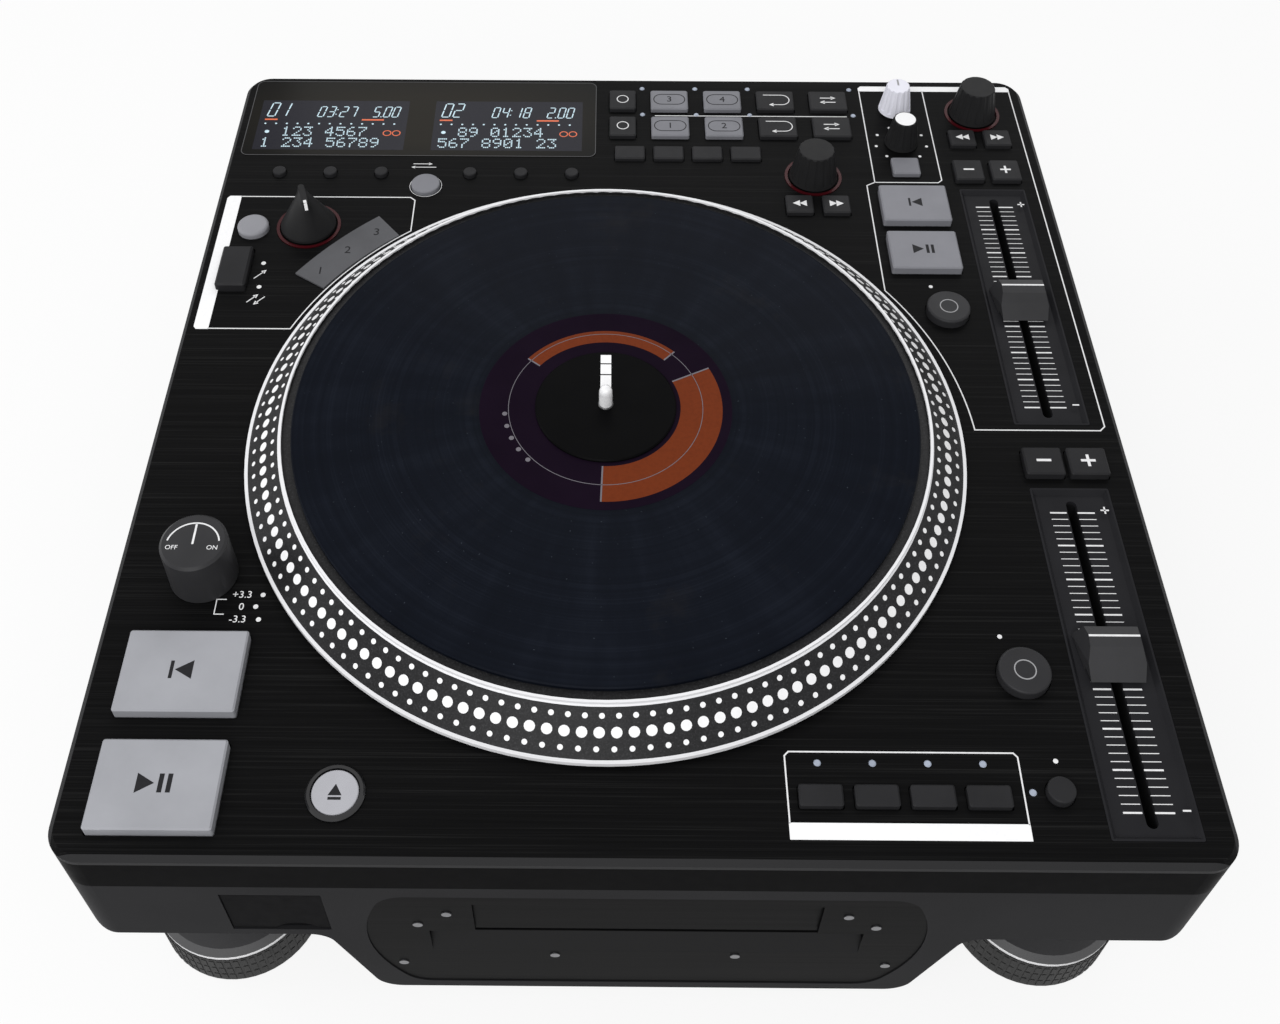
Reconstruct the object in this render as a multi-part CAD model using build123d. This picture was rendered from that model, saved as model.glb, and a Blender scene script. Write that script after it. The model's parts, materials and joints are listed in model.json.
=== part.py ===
from build123d import *
from math import atan, cos, degrees, radians, sin, sqrt
import os

# DJ media player, millimetres. X to the right, Y to the rear, Z up.
# The origin is on the table under the middle of the case.

# Case
body_w = 312.0             # overall width, across the panel's bevel
body_d = 325.0             # overall depth
corner_r = 9.5             # plan corners
panel_t = 3.0              # top panel
panel_bevel = 1.5
band_h = 13.7              # upper case, the dark band under the panel
band_wall = 3.0
side_h = 32.8              # straight side of the lower case
side_r = 8.0               # rounding from the side to the floor
case_wall = 2.5
bulge_x = 2.0              # the hump for the disc drive, off the middle line
bulge_w_top = 180.0
bulge_w_bottom = 156.0
bulge_h = 40.5
bulge_r_top = 7.0
bulge_r_bottom = 8.0
floor_gap = 9.0            # table to the bottom of the hump

bulge_z = floor_gap
tray_z = bulge_z + bulge_h
band_z = tray_z + side_h
deck_z = band_z + band_h   # underside of the top panel
top_z = deck_z + panel_t   # its upper face
left, right = -body_w / 2, body_w / 2
front, rear = -body_d / 2, body_d / 2
floor_z = tray_z + case_wall
bulge_floor_z = bulge_z + case_wall

# Running gaps
key_gap = 0.3              # key to its hole, each side
flange_gap = 0.3           # key flange to the panel's underside
shaft_gap = 0.05           # shaft to its bore, in radius
seat_gap = 0.1             # fixed insert to its cut-out, each side

# Keys
key_travel = 1.2
flange_t = 1.2
flange_lip = 1.2           # flange beyond the key, front and rear
key_corner = 0.8
key_edge = 0.5
board_drop = 7.0           # key boards hang this far under the panel
board_t = 1.6
switch_w = 5.0
switch_gap = 0.2           # left between a pressed key and its switch body

# Feet
foot_r = 25.5
tread_h = 16.5
foot_ring_r = 25.2
foot_ring_t = 1.5
foot_disc_t = 2.2
foot_neck_r = 12.0
foot_stud_r = 3.0
foot_nut_r = 6.0
foot_nut_t = 4.0
foot_x = body_w / 2 - 31.5
foot_y = body_d / 2 - 29.5

# Platter
left_strip = 31.3          # panel kept for the controls on each side of the platter
right_strip = 52.1
front_strip = 26.0
rear_strip = 70.4
room_w = body_w - left_strip - right_strip
room_d = body_d - front_strip - rear_strip
platter_x = left + left_strip + room_w / 2
platter_y = front + front_strip + room_d / 2
platter_r = min(room_w, room_d) / 2      # the largest that fits: nine inches across
cone_w = 12.1              # sloping wall, seen from above
platter_top_r = platter_r - cone_w
platter_gap = 1.5          # rim above the panel
platter_rim_t = 1.5
platter_h = 14.1           # top ring above the panel
platter_wall = 3.9
platter_lip = 1.1          # upright edge between the slope and the top ring
ring_w = 0.8               # flat bright ring round the record well
well_d = 1.7               # depth of the well inside that ring
deck_t = 3.0               # floor of the well
hub_r = 16.0
slip_r = platter_top_r - 5.2
slip_t = 0.6
record_r = platter_top_r - 3.9
record_t = 1.5
record_gap = 0.15
cap_r = 22.2
cap_t = 1.0
pin_r = 2.1                # free end of the pin
pin_base_r = 2.4           # thicker stretch through platter, record and cap
pin_base_over = 0.6        # that stretch above the cap
pin_rise = 24.0            # spindle tip above the panel
pin_tip = 1.4              # taper at the tip
shaft_r = 5.0
spindle_flange_r = 14.0
motor_r = 50.0
motor_t = 16.0

# Rotary controls
knob_lift = 0.6            # knob skirt above the panel
knob_shaft_r = 3.0
encoder_w = 12.0
select_base_r = 9.1
select_top_r = 6.6
select_rise = 13.6
effect_base_r = 6.4
effect_top_r = 4.5
effect_rise = 12.2
selector_base_r = 10.0
selector_rise = 16.0
selector_blade_w = 2.2
selector_blade_l = 10.6
selector_turn = 18.0       # blade's turn from straight front to rear
platter_knob_base_r = 10.1
platter_knob_top_r = 9.8
platter_knob_rise = 17.6
select_flutes = 16
effect_flutes = 12
flute_r = 1.3
flute_depth = 0.55
light_ring_w = 1.1
light_ring_gap = 0.6       # ring's bore outside the knob skirt
light_ring_sink = 0.8
light_ring_proud = 0.3

# Faders
fader_front = 7.2          # edge of the panel to the main fader
fader_rear = 65.8
bend_strip = 25.4          # room for the bend keys between the two faders
tray_w = 24.6
tray_l = (body_d - fader_front - fader_rear - bend_strip) / 2
tray_sink = 1.5
tray_slope = 1.2
slot_w = 3.2
slot_l = tray_l - 8.0
track_w = 26.5
track_l = tray_l + 2.7
track_t = 9.0
fader_cap_w = 19.2
fader_cap_top_w = 14.6
fader_cap_back = 5.4       # index line to the rear of the cap
fader_cap_front = 10.9     # index line to the front of the cap
fader_cap_step = 6.0       # index line to where the cap passes over the tray's edge
fader_cap_rise = 6.0
fader_stem_t = 2.0
fader_stem_l = 7.0

# Front
fascia_w = 157.0           # at its widest
fascia_h = 63.0
fascia_top = 22.7          # fascia's upper edge below the panel's face
fascia_t = 4.0
fascia_end_r = 60.0        # bow of its two ends
fascia_waist = 28.0        # its widest height, below its upper edge
fascia_corner_r = 9.0
fascia_sink = 0.3
fascia_flange = 1.5
fascia_flange_t = 1.4
disc_slot_w = 122.0
disc_slot_h = 4.6
disc_slot_drop = 49.4      # middle of the slot below the panel's face
recess_d = 1.0             # sunk band above the slot
recess_h = 19.0
lip_h = 9.5                # slanted bar under the slot
lip_d = 2.2
door_w = 27.0
door_h = 23.6
door_t = 1.6
door_x = bulge_x - fascia_w / 2 - 23.5
door_gap = 0.25
door_drop = 5.5            # its upper edge below the band
door_sink = 0.3            # behind the face of the case
door_pin_r = 0.6
door_pin_l = 1.4
notch_r = 7.0
bay_d = 19.0
bay_wall = 1.2
pocket_d = 3.5
usb_w = 12.4
usb_h = 5.0
usb_rise = 4.5             # above the middle of the door
card_w = 24.2
card_h = 2.6
card_drop = 4.5
socket_d = 13.0

# Disc drive behind the fascia
drive_w = 148.0
drive_l = 170.0
drive_base_h = 9.0
drive_lid_t = 3.0
drive_back = 40.0          # solid block behind the disc's way
drive_leg = 10.0
drive_gap = 0.3            # fascia to the drive

# Rear sockets: X of the middle, width, height of each housing
socket_blocks = [(left + 46.0, 31.0, 24.0), (right - 92.0, 66.0, 24.0)]
socket_wall = 1.6
socket_depth = 16.0
inlet_pins = (-7.0, 0.0, 7.0)
inlet_pin_w = 2.0
inlet_pin_h = 6.0
inlet_pin_l = 11.5
inlet_drop = 2.0           # pins below the middle of the inlet
earth_drop = 2.0           # middle pin below the other two
jacks = (-1.5, -0.5, 0.5, 1.5)
jack_pitch = 15.5
jack_r = 4.0
jack_wall = 1.2
jack_l = 12.4

# Floor vents on both sides of the hump
vent_w = 2.0
vent_l = 46.0
vent_x = body_w / 2 - 41.0
vent_pitch = 5.0
vent_count = 7

# Main board and power supply
board_w = 144.0
board_back = 30.0          # rear of the case to the board
board_front = 0.6          # disc drive to the board
board_lift = 6.0
pillar_r = 3.0
chips = [(-35.0, 20.0, 24.0, 3.0), (5.0, 25.0, 30.0, 3.0), (45.0, -10.0, 20.0, 2.5),
         (-20.0, -30.0, 32.0, 14.0)]     # X, Y, size, height; the last is a heat sink
supply_w = 46.0
supply_d = 86.0
supply_t = 2.0
supply_x = left + 42.0
supply_y = rear - 98.0
transformer = (24.0, 26.0, 22.0)
sink_fin = (4.0, 60.0, 20.0)
capacitor_r = 5.5
capacitor_h = 20.0

# Screws
screw_head_r = 2.8
screw_head_t = 1.6
screw_r = 1.5
screw_l = 12.0
boss_w = 7.0
boss_d = 10.0
boss_h = 9.0               # arm from the post to the band
boss_end = body_d / 2 - 42.5
boss_rows = (-boss_end, 0.0, boss_end)
stud_head_r = 1.4
stud_head_t = 0.3          # flush with the case's front
stud_r = 0.8

# Display
window_left = 4.0          # panel's edge to the window
window_right = 170.8
window_w = body_w - window_left - window_right
window_d = 45.6
window_r = 3.0
window_t = 1.2
window_proud = 0.2
aperture_w = window_w - 9.2
aperture_d = 34.0
readout_gap = 13.7
readout_w = (window_w - 24.2) / 2
readout_d = 29.0
readout_drop = 0.4         # readouts in front of the window's middle
readout_pitch = readout_w + readout_gap
button_pitch = readout_w / 3 + 0.5
button_shift = 4.0         # both rows of display buttons, to the right of the readouts
window_x = left + window_left + window_w / 2
window_y = rear - 26.1

# Places of the keys: X, Y, width, depth, rise above the panel
big_key = (34.0, 25.4, 3.5)
mid_key = (24.9, 19.2, 3.0)
loop_key = (14.8, 11.7, 1.8)
bend_key = (12.3, 10.6, 2.6)
bend_key_2 = (11.0, 11.3, 2.0)
search_key = (10.1, 9.5, 1.8)
search_key_2 = (10.1, 9.2, 1.8)
loop_row = rear - 15.5
pad_row = rear - 31.8
loop_pitch = 21.1
first_loop_x = right - 141.8
function_key = (11.6, 7.5, 1.5)
mode_key = (11.8, 6.2, 2.0)
exit_key = (10.4, 11.7, 1.8)
exit_x = right - 160.4

fader_xs = right - 21.5
main_fader_y = front + fader_front + tray_l / 2
main_fader_end = main_fader_y + tray_l / 2
second_fader_y = rear - fader_rear - tray_l / 2
fader_ys = {"pitch_fader": main_fader_y, "second_pitch_fader": second_fader_y}

rect_keys = {
    "cue_key": [(left + 27.0, front + 53.1, *big_key)],
    "play_key": [(left + 27.0, front + 19.5, *big_key)],
    "second_cue_key": [(right - 52.2, rear - 76.3, *mid_key)],
    "second_play_key": [(right - 52.2, rear - 101.0, *mid_key)],
    "effect_key": [(right - 52.5, rear - 54.3, 10.4, 9.3, 1.8)],
    "bend_minus_key": [(right - 28.0, main_fader_end + 9.0, *bend_key)],
    "bend_plus_key": [(right - 14.0, main_fader_end + 9.0, *bend_key)],
    "second_bend_minus_key": [(right - 29.0, rear - 56.7, *bend_key_2)],
    "second_bend_plus_key": [(right - 15.1, rear - 56.7, *bend_key_2)],
    "search_keys": [(right - x, rear - 76.0, *search_key) for x in (94.8, 81.1)],
    "second_search_keys": [(right - x, rear - 37.6, *search_key_2) for x in (28.4, 14.8)],
    "mode_keys": [(right - 108.6 + 14.93 * i, front + 18.5, *mode_key) for i in range(4)],
    "function_keys": [(right - 157.7 + 14.9 * i, rear - 47.1, *function_key) for i in range(4)],
    "sample_pads": [(first_loop_x + loop_pitch * i, y, *loop_key)
                    for y in (loop_row, pad_row) for i in range(2)],
    "loop_keys": [(first_loop_x + loop_pitch * i, y, *loop_key)
                  for y in (loop_row, pad_row) for i in (2, 3)]
                 + [(exit_x, y, *exit_key) for y in (loop_row, pad_row)],
}

# Round buttons: X, Y, radius, rise above the panel, edge rounding
round_keys = {
    "tap_button": [(right - 47.9, front + 55.3, 7.5, 3.0, 0.8)],
    "second_tap_button": [(right - 47.8, rear - 129.2, 7.5, 3.0, 0.8)],
    "range_button": [(right - 44.6, front + 20.2, 3.85, 2.4, 0.6)],
    "disc_mode_button": [(left + 16.2, rear - 89.4, 5.7, 2.2, 1.2)],
    "change_button": [(window_x + 4.6, rear - 65.8, 5.4, 1.6, 0.6)],
    "eject_button": [(left + 74.3, front + 18.6, 6.35, 0.8, 0.4)],
    "display_buttons": [(window_x + button_shift + side * (readout_pitch / 2 + 1.1) + i * button_pitch,
                         rear - 58.9, 2.5, 1.5, 0.5) for side in (-1, 1) for i in (-1, 0, 1)],
}
eject_x, eject_y, eject_r = round_keys["eject_button"][0][:3]
bezel_w = 1.4
bezel_proud = 1.0

# Places of the rotary controls
select_xy = (right - 88.2, rear - 59.3)
second_select_xy = (right - 21.8, rear - 21.4)
effect_xy = (right - 52.3, rear - 19.1)
mix_xy = (right - 52.3, rear - 39.6)
selector_xy = (left + 36.3, rear - 88.1)
platter_knob_xy = (left + 26.6, front + 86.5)
knob_places = (select_xy, second_select_xy, effect_xy, mix_xy, selector_xy, platter_knob_xy)

# Direction rocker
rocker_xy = (left + 13.2, rear - 111.1)
rocker_w = 10.6
rocker_l = 19.6
rocker_rise = 3.0
rocker_end_gap = 1.0
rocker_pin_r = 1.0
rocker_pin_drop = 3.0      # pin's axis below the panel's underside
rocker_web_w = 5.0
rocker_ear_t = 2.0

# Lit lens beside the mode selector, round the platter's centre
lens_r_in = platter_r + 4.4
lens_r_out = platter_r + 17.5
lens_from = 129.6
lens_to = 147.0
lens_proud = 0.6

# Indicator lamps
lamp_r = 1.0
lamp_proud = 0.3
lamp_row = [(right - 152.5, 8.9), (right - 131.2, 8.9), (right - 110.0, 8.9), (right - 69.0, 8.9)]
lamps = [(x, y + d) for y in (loop_row, pad_row) for x, d in lamp_row]
lamps += [(x, y + 9.8) for x, y, *_ in rect_keys["mode_keys"]]
lamps += [(right - 51.8, front + 20.3)]

# Boards under the panel: left, right, front, rear edges
boards = [
    (right - 168.0, right - 67.6, rear - 84.0, rear - 5.0),
    (right - 64.0, right - 6.0, rear - 62.5, rear - 6.0),
    (right - 66.5, right - 35.3, rear - 139.0, rear - 64.5),
    (left + 6.0, right - 176.0, rear - 72.0, rear - 52.0),
    (left + 6.0, left + 50.0, rear - 126.5, rear - 76.0),
    (left + 6.0, left + 48.0, front + 5.0, front + 98.0),
    (left + 62.0, left + 88.0, front + 5.0, front + 32.0),
    (right - 120.0, right - 37.5, front + 5.0, front + 66.0),
    (right - 36.0, right - 6.0, main_fader_end + 1.7, main_fader_end + bend_strip - 1.7),
]
standoff_r = 1.5
standoffs = [
    (right - 131.25, rear - 15.5), (right - 89.05, rear - 15.5), (right - 152.3, rear - 17.0),
    (right - 165.5, rear - 81.5), (right - 104.0, rear - 81.5), (right - 70.0, rear - 81.5),
    (right - 62.0, rear - 8.5), (right - 7.8, rear - 8.5), (right - 62.0, rear - 60.0),
    (right - 41.0, rear - 60.0), (right - 7.6, rear - 47.0),
    (right - 37.2, rear - 76.3), (right - 37.2, rear - 136.5), (right - 64.5, rear - 116.0),
    (right - 64.5, rear - 136.5),
    (left + 8.5, rear - 54.5), (left + 8.5, rear - 69.5), (left + 50.0, rear - 69.5),
    (right - 178.5, rear - 69.5),
    (left + 8.5, rear - 78.5), (left + 47.0, rear - 78.5), (left + 8.5, rear - 124.4),
    (left + 47.0, rear - 124.0),
    (left + 8.0, front + 96.0), (left + 46.0, front + 96.0), (left + 8.0, front + 36.3),
    (left + 46.0, front + 36.3), (left + 8.0, front + 7.0), (left + 46.0, front + 7.0),
    (left + 64.5, front + 7.5), (left + 85.5, front + 7.5), (left + 64.5, front + 29.5),
    (left + 85.5, front + 29.5),
    (right - 117.5, front + 7.5), (right - 40.0, front + 7.5), (right - 117.5, front + 63.5),
    (right - 60.0, front + 63.5),
    (right - 33.8, main_fader_end + 21.2), (right - 8.2, main_fader_end + 21.2),
]


def slab(w, d, z0, z1, x=0.0, y=0.0, r=0.0):
    """Upright prism between two heights, with plan corners of radius r."""
    plan = RectangleRounded(w, d, r) if r else Rectangle(w, d)
    return Pos(x, y, z0) * extrude(plan, z1 - z0)


def rod(r, z0, z1, x=0.0, y=0.0):
    """Upright cylinder between two heights."""
    return Pos(x, y, z0) * extrude(Circle(r), z1 - z0)


def top_edges(shape):
    return shape.faces().sort_by(Axis.Z)[-1].edges()


def turned(points, x=0.0, y=0.0):
    """Solid of revolution about an upright axis, from radius and height pairs."""
    outline = Polyline(*[(r, 0, z) for r, z in points], close=True)
    return Pos(x, y, 0) * revolve(make_face(outline), Axis.Z)


def case_section(inset, top):
    """Front view of the lower case: straight sides and the hump, drawn inside by inset."""
    half = body_w / 2 - inset
    up, low = bulge_w_top / 2 - inset, bulge_w_bottom / 2 - inset
    floor, hump = tray_z + inset, bulge_z + inset
    points = [(-half, top), (-half, floor), (bulge_x - up, floor), (bulge_x - low, hump),
              (bulge_x + low, hump), (bulge_x + up, floor), (half, floor), (half, top)]
    bends = [side_r - inset, bulge_r_top + inset, bulge_r_bottom - inset]
    line = FilletPolyline(*points, radius=bends + bends[::-1])
    return make_face(Plane.XZ * (line + Line(points[-1], points[0])))


def fascia_outline(grow):
    """Front view of the fascia with its bowed ends, wider by grow on every side."""
    half = fascia_w / 2 + grow
    end_r = fascia_end_r + grow
    above, below = fascia_waist + grow, fascia_h - fascia_waist + grow
    top_half = half - end_r + sqrt(end_r**2 - above**2)
    low_half = half - end_r + sqrt(end_r**2 - below**2)
    line = Line((-top_half, above), (top_half, above))
    line += ThreePointArc((top_half, above), (half, 0), (low_half, -below))
    line += Line((low_half, -below), (-low_half, -below))
    line += ThreePointArc((-low_half, -below), (-half, 0), (-top_half, above))
    plan = make_face(line)
    plan = fillet(plan.vertices(), fascia_corner_r + grow)
    waist_z = top_z - fascia_top - fascia_waist
    return Plane(origin=(bulge_x, 0, waist_z), x_dir=(1, 0, 0), z_dir=(0, -1, 0)) * plan


def front_prism(face, y0, y1):
    """Extrude a face drawn on the XZ plane from y0 back to y1."""
    return Pos(0, y1, 0) * extrude(face, y1 - y0, dir=(0, -1, 0))


foot_places = [(sx * foot_x, sy * foot_y) for sy in (-1, 1) for sx in (-1, 1)]
boss_x = body_w / 2 - 11.5
boss_places = [(side * boss_x, y) for y in boss_rows for side in (-1, 1)]
stud_spots = [(55.3, 34.7), (63.8, 42.2), (70.3, 71.0), (26.0, 64.5)]
stud_places = [(bulge_x + side * x, top_z - z) for x, z in stud_spots for side in (-1, 1)]
slot_z = top_z - disc_slot_drop
fascia_front = front + fascia_sink
fascia_back = fascia_front + fascia_t
door_top = band_z - door_drop
door_z = door_top - door_h / 2
door_axis_y = front + door_sink + door_t / 2
door_axis_z = door_top - door_t / 2


def key_flat(x, y, w, d, rise):
    """Rectangular key: cap, and a flange that catches under the panel in front and behind."""
    low = deck_z - flange_gap - flange_t
    cap = slab(w, d, low, top_z + rise, x, y, key_corner)
    cap = chamfer(top_edges(cap), key_edge)
    return cap + slab(w, d + 2 * flange_lip, low, low + flange_t, x, y)


def key_round(x, y, r, rise, edge):
    low = deck_z - flange_gap - flange_t
    cap = fillet(top_edges(rod(r, low, top_z + rise, x, y)), edge)
    return cap + rod(r + flange_lip, low, low + flange_t, x, y)


def fluted_knob(x, y, base_r, top_r, rise, flutes):
    """Tapered knob with shallow grooves and a shaft that turns in its encoder."""
    tall = rise - knob_lift
    low = top_z + knob_lift
    body = Pos(x, y, low) * Cone(base_r, top_r, tall, align=(Align.CENTER, Align.CENTER, Align.MIN))
    body = fillet(top_edges(body), 0.6)
    lean = degrees(atan((base_r - top_r) / tall))
    cutter = extrude(Circle(flute_r), 1.2 * rise)
    groove = Pos(base_r + flute_r - flute_depth, 0, 0) * Rot(0, -lean, 0) * cutter
    body -= [Pos(x, y, low + 1.5) * Rot(0, 0, 360 * i / flutes) * groove for i in range(flutes)]
    return body + knob_shaft(x, y)


def knob_shaft(x, y):
    return rod(knob_shaft_r, deck_z - board_drop + 2.0, top_z + knob_lift + 2.0, x, y)


def mode_selector():
    """Pointer knob: a round skirt that draws in to an upright blade."""
    x, y = selector_xy
    low = top_z + knob_lift
    skirt = rod(selector_base_r, low, low + 1.0, x, y)
    blade = Rot(0, 0, 90 + selector_turn) * SlotOverall(selector_blade_l, selector_blade_w)
    body = loft([Pos(x, y, low + 1.0) * Circle(selector_base_r),
                 Pos(x, y, top_z + selector_rise) * blade])
    return skirt + body + knob_shaft(x, y)


def platter_knob():
    x, y = platter_knob_xy
    low = top_z + knob_lift
    tall = platter_knob_rise - knob_lift
    body = Pos(x, y, low) * Cone(platter_knob_base_r, platter_knob_top_r, tall,
                                 align=(Align.CENTER, Align.CENTER, Align.MIN))
    return chamfer(top_edges(body), 0.8) + knob_shaft(x, y)


def light_ring(x, y, knob_r):
    bore = knob_r + light_ring_gap
    ring = rod(bore + light_ring_w, top_z - light_ring_sink, top_z + light_ring_proud, x, y)
    return ring - rod(bore, deck_z, top_z + 1, x, y)


def ring_seat(x, y, outer_r):
    return rod(outer_r + seat_gap, top_z - light_ring_sink, top_z + 1, x, y)


def fader_cap(y):
    """Wedge cap with its index line near the rear, on a stem through the slot."""
    low = top_z - tray_sink + 0.4
    high = top_z + fader_cap_rise
    over = top_z + 0.3
    side = Polyline((-fader_cap_front, over), (-fader_cap_step, over), (-fader_cap_step, low),
                    (fader_cap_back, low), (fader_cap_back - 1.0, high - 1.2),
                    (1.0, high), (-2.6, high - 0.5), (-5.6, high - 2.2), close=True)
    place = Plane(origin=(fader_xs, y, 0), x_dir=(0, 1, 0), z_dir=(1, 0, 0))
    body = extrude(make_face(place * side), fader_cap_w / 2, both=True)
    half, top_half = fader_cap_w / 2, fader_cap_top_w / 2
    view = Polyline((-half, low), (half, low), (top_half, high), (-top_half, high), close=True)
    body &= front_prism(Pos(fader_xs, 0, 0) * make_face(Plane.XZ * view), y - 20, y + 20)
    plan = Polyline((-half, fader_cap_back), (half, fader_cap_back), (top_half + 0.4, -fader_cap_front),
                    (-top_half - 0.4, -fader_cap_front), close=True)
    body &= Pos(fader_xs, y, low) * extrude(make_face(plan), fader_cap_rise + 4)
    return body + slab(fader_stem_t, fader_stem_l, deck_z - track_t + 3.0, low + 2.0, fader_xs, y)


def fader_tray(y):
    tray = slab(tray_w, tray_l, deck_z, top_z, fader_xs, y, 0.6)
    foot = tray_w - 2 * tray_slope - 1.2
    well = loft([Pos(fader_xs, y, top_z - tray_sink) * Rectangle(foot, tray_l - 2 * tray_slope - 1.2),
                 Pos(fader_xs, y, top_z + 0.001) * Rectangle(foot + 2 * tray_slope, tray_l - 1.2)])
    return tray - well - slab(slot_w, slot_l, deck_z - 1, top_z, fader_xs, y, slot_w / 2 - 0.01)


def fader_track(y):
    track = slab(track_w, track_l, deck_z - track_t, deck_z, fader_xs, y)
    return track - slab(slot_w, slot_l, deck_z - track_t + 2.0, deck_z, fader_xs, y, slot_w / 2 - 0.01)


def sector(inner, outer, start, end, z0, z1):
    """Part of a flat ring about the platter's centre."""
    reach = 2 * outer
    wedge = Polyline((0, 0), (reach * cos(radians(start)), reach * sin(radians(start))),
                     (reach * cos(radians(end)), reach * sin(radians(end))), close=True)
    plan = (Circle(outer) - Circle(inner)) & make_face(wedge)
    return Pos(platter_x, platter_y, z0) * extrude(plan, z1 - z0)


def direction_rocker():
    x, y = rocker_xy
    cap = slab(rocker_w, rocker_l, deck_z - 0.3, top_z + rocker_rise, x, y, 0.8)
    cap = chamfer(top_edges(cap), 0.7)
    pin_z = deck_z - rocker_pin_drop
    web = slab(rocker_web_w, 5.0, pin_z - 1.4, deck_z, x, y)
    pin = Pos(x, y, pin_z) * Rot(0, 90, 0) * Cylinder(rocker_pin_r, rocker_web_w + 2 * rocker_ear_t + 1.0)
    return cap + web + pin


def rocker_ears():
    """Two ears on the board that carry the rocker's pin."""
    x, y = rocker_xy
    pin_z = deck_z - rocker_pin_drop
    out = rocker_web_w / 2 + 0.3 + rocker_ear_t / 2
    ears = [slab(rocker_ear_t, 5.0, deck_z - board_drop, deck_z - 1.4, x + s * out, y) for s in (-1, 1)]
    bore = Pos(x, y, pin_z) * Rot(0, 90, 0) * Cylinder(rocker_pin_r + shaft_gap, rocker_w * 2)
    return [ear - bore for ear in ears]


def key_board(edges):
    """Board with its standoffs, a switch under each key and an encoder under each knob."""
    x0, x1, y0, y1 = edges
    top = deck_z - board_drop
    inside = lambda x, y: x0 < x < x1 and y0 < y < y1
    board = slab(x1 - x0, y1 - y0, top - board_t, top, (x0 + x1) / 2, (y0 + y1) / 2)
    for x, y in standoffs:
        if inside(x, y):
            board += rod(standoff_r, top, deck_z, x, y)
    switch_top = deck_z - flange_gap - flange_t - key_travel - switch_gap
    for place in [k for group in (rect_keys, round_keys) for keys in group.values() for k in keys]:
        if inside(*place[:2]):
            board += slab(switch_w, switch_w, top, switch_top, *place[:2])
    for x, y in knob_places:
        if inside(x, y):
            board += slab(encoder_w, encoder_w, top, deck_z, x, y)
            board -= rod(knob_shaft_r + shaft_gap, top + 1.0, deck_z, x, y)
    if inside(*rocker_xy):
        for ear in rocker_ears():
            board += ear
    return board


def top_panel():
    panel = slab(body_w, body_d, deck_z, top_z, r=corner_r)
    panel = chamfer(top_edges(panel), panel_bevel)
    over = top_z + 1
    cuts = [slab(w + 2 * key_gap, d + 2 * key_gap, deck_z, over, x, y, key_corner)
            for keys in rect_keys.values() for x, y, w, d, _ in keys]
    cuts += [rod(r + key_gap, deck_z, over, x, y) for keys in round_keys.values() for x, y, r, *_ in keys]
    cuts += [rod(knob_shaft_r + 0.6, deck_z, over, x, y) for x, y in knob_places]
    cuts += [rod(lamp_r + seat_gap, deck_z, over, x, y) for x, y in lamps]
    cuts += [slab(tray_w + 2 * seat_gap, tray_l + 2 * seat_gap, deck_z, over, fader_xs, y, 0.6)
             for y in fader_ys.values()]
    cuts += [ring_seat(*xy, select_base_r + light_ring_gap + light_ring_w)
             for xy in (select_xy, second_select_xy)]
    cuts.append(ring_seat(*selector_xy, selector_base_r + light_ring_gap + light_ring_w))
    cuts.append(ring_seat(eject_x, eject_y, eject_r + key_gap + bezel_w))
    cuts.append(slab(window_w + 2 * seat_gap, window_d + 2 * seat_gap, top_z - window_t + window_proud, over,
                     window_x, window_y, window_r))
    cuts.append(slab(aperture_w, aperture_d, deck_z, over, window_x, window_y, 2.0))
    cuts.append(rod(spindle_flange_r + 2.0, deck_z, over, platter_x, platter_y))
    cuts.append(slab(rocker_w + 2 * key_gap, rocker_l + 2 * rocker_end_gap, deck_z, over, *rocker_xy, 0.8))
    spread = degrees(seat_gap / lens_r_in)
    cuts.append(sector(lens_r_in - seat_gap, lens_r_out + seat_gap, lens_from - spread,
                       lens_to + spread, deck_z, over))
    return panel - cuts


def upper_case():
    ring = slab(body_w, body_d, band_z, deck_z, r=corner_r)
    ring -= slab(body_w - 2 * band_wall, body_d - 2 * band_wall, band_z, deck_z, r=corner_r - band_wall)
    for x, y in boss_places:
        side = 1 if x > 0 else -1
        arm = body_w / 2 - band_wall - (boss_x - boss_w / 2) + 0.3
        post = slab(boss_w, boss_d, floor_z, band_z + 3.5, x, y)
        post += slab(arm, boss_d, band_z + 3.5 - boss_h, band_z + 3.5, x + side * (arm - boss_w) / 2, y)
        ring += post - rod(screw_r + shaft_gap, floor_z, floor_z + screw_l, x, y)
    return ring


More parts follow.
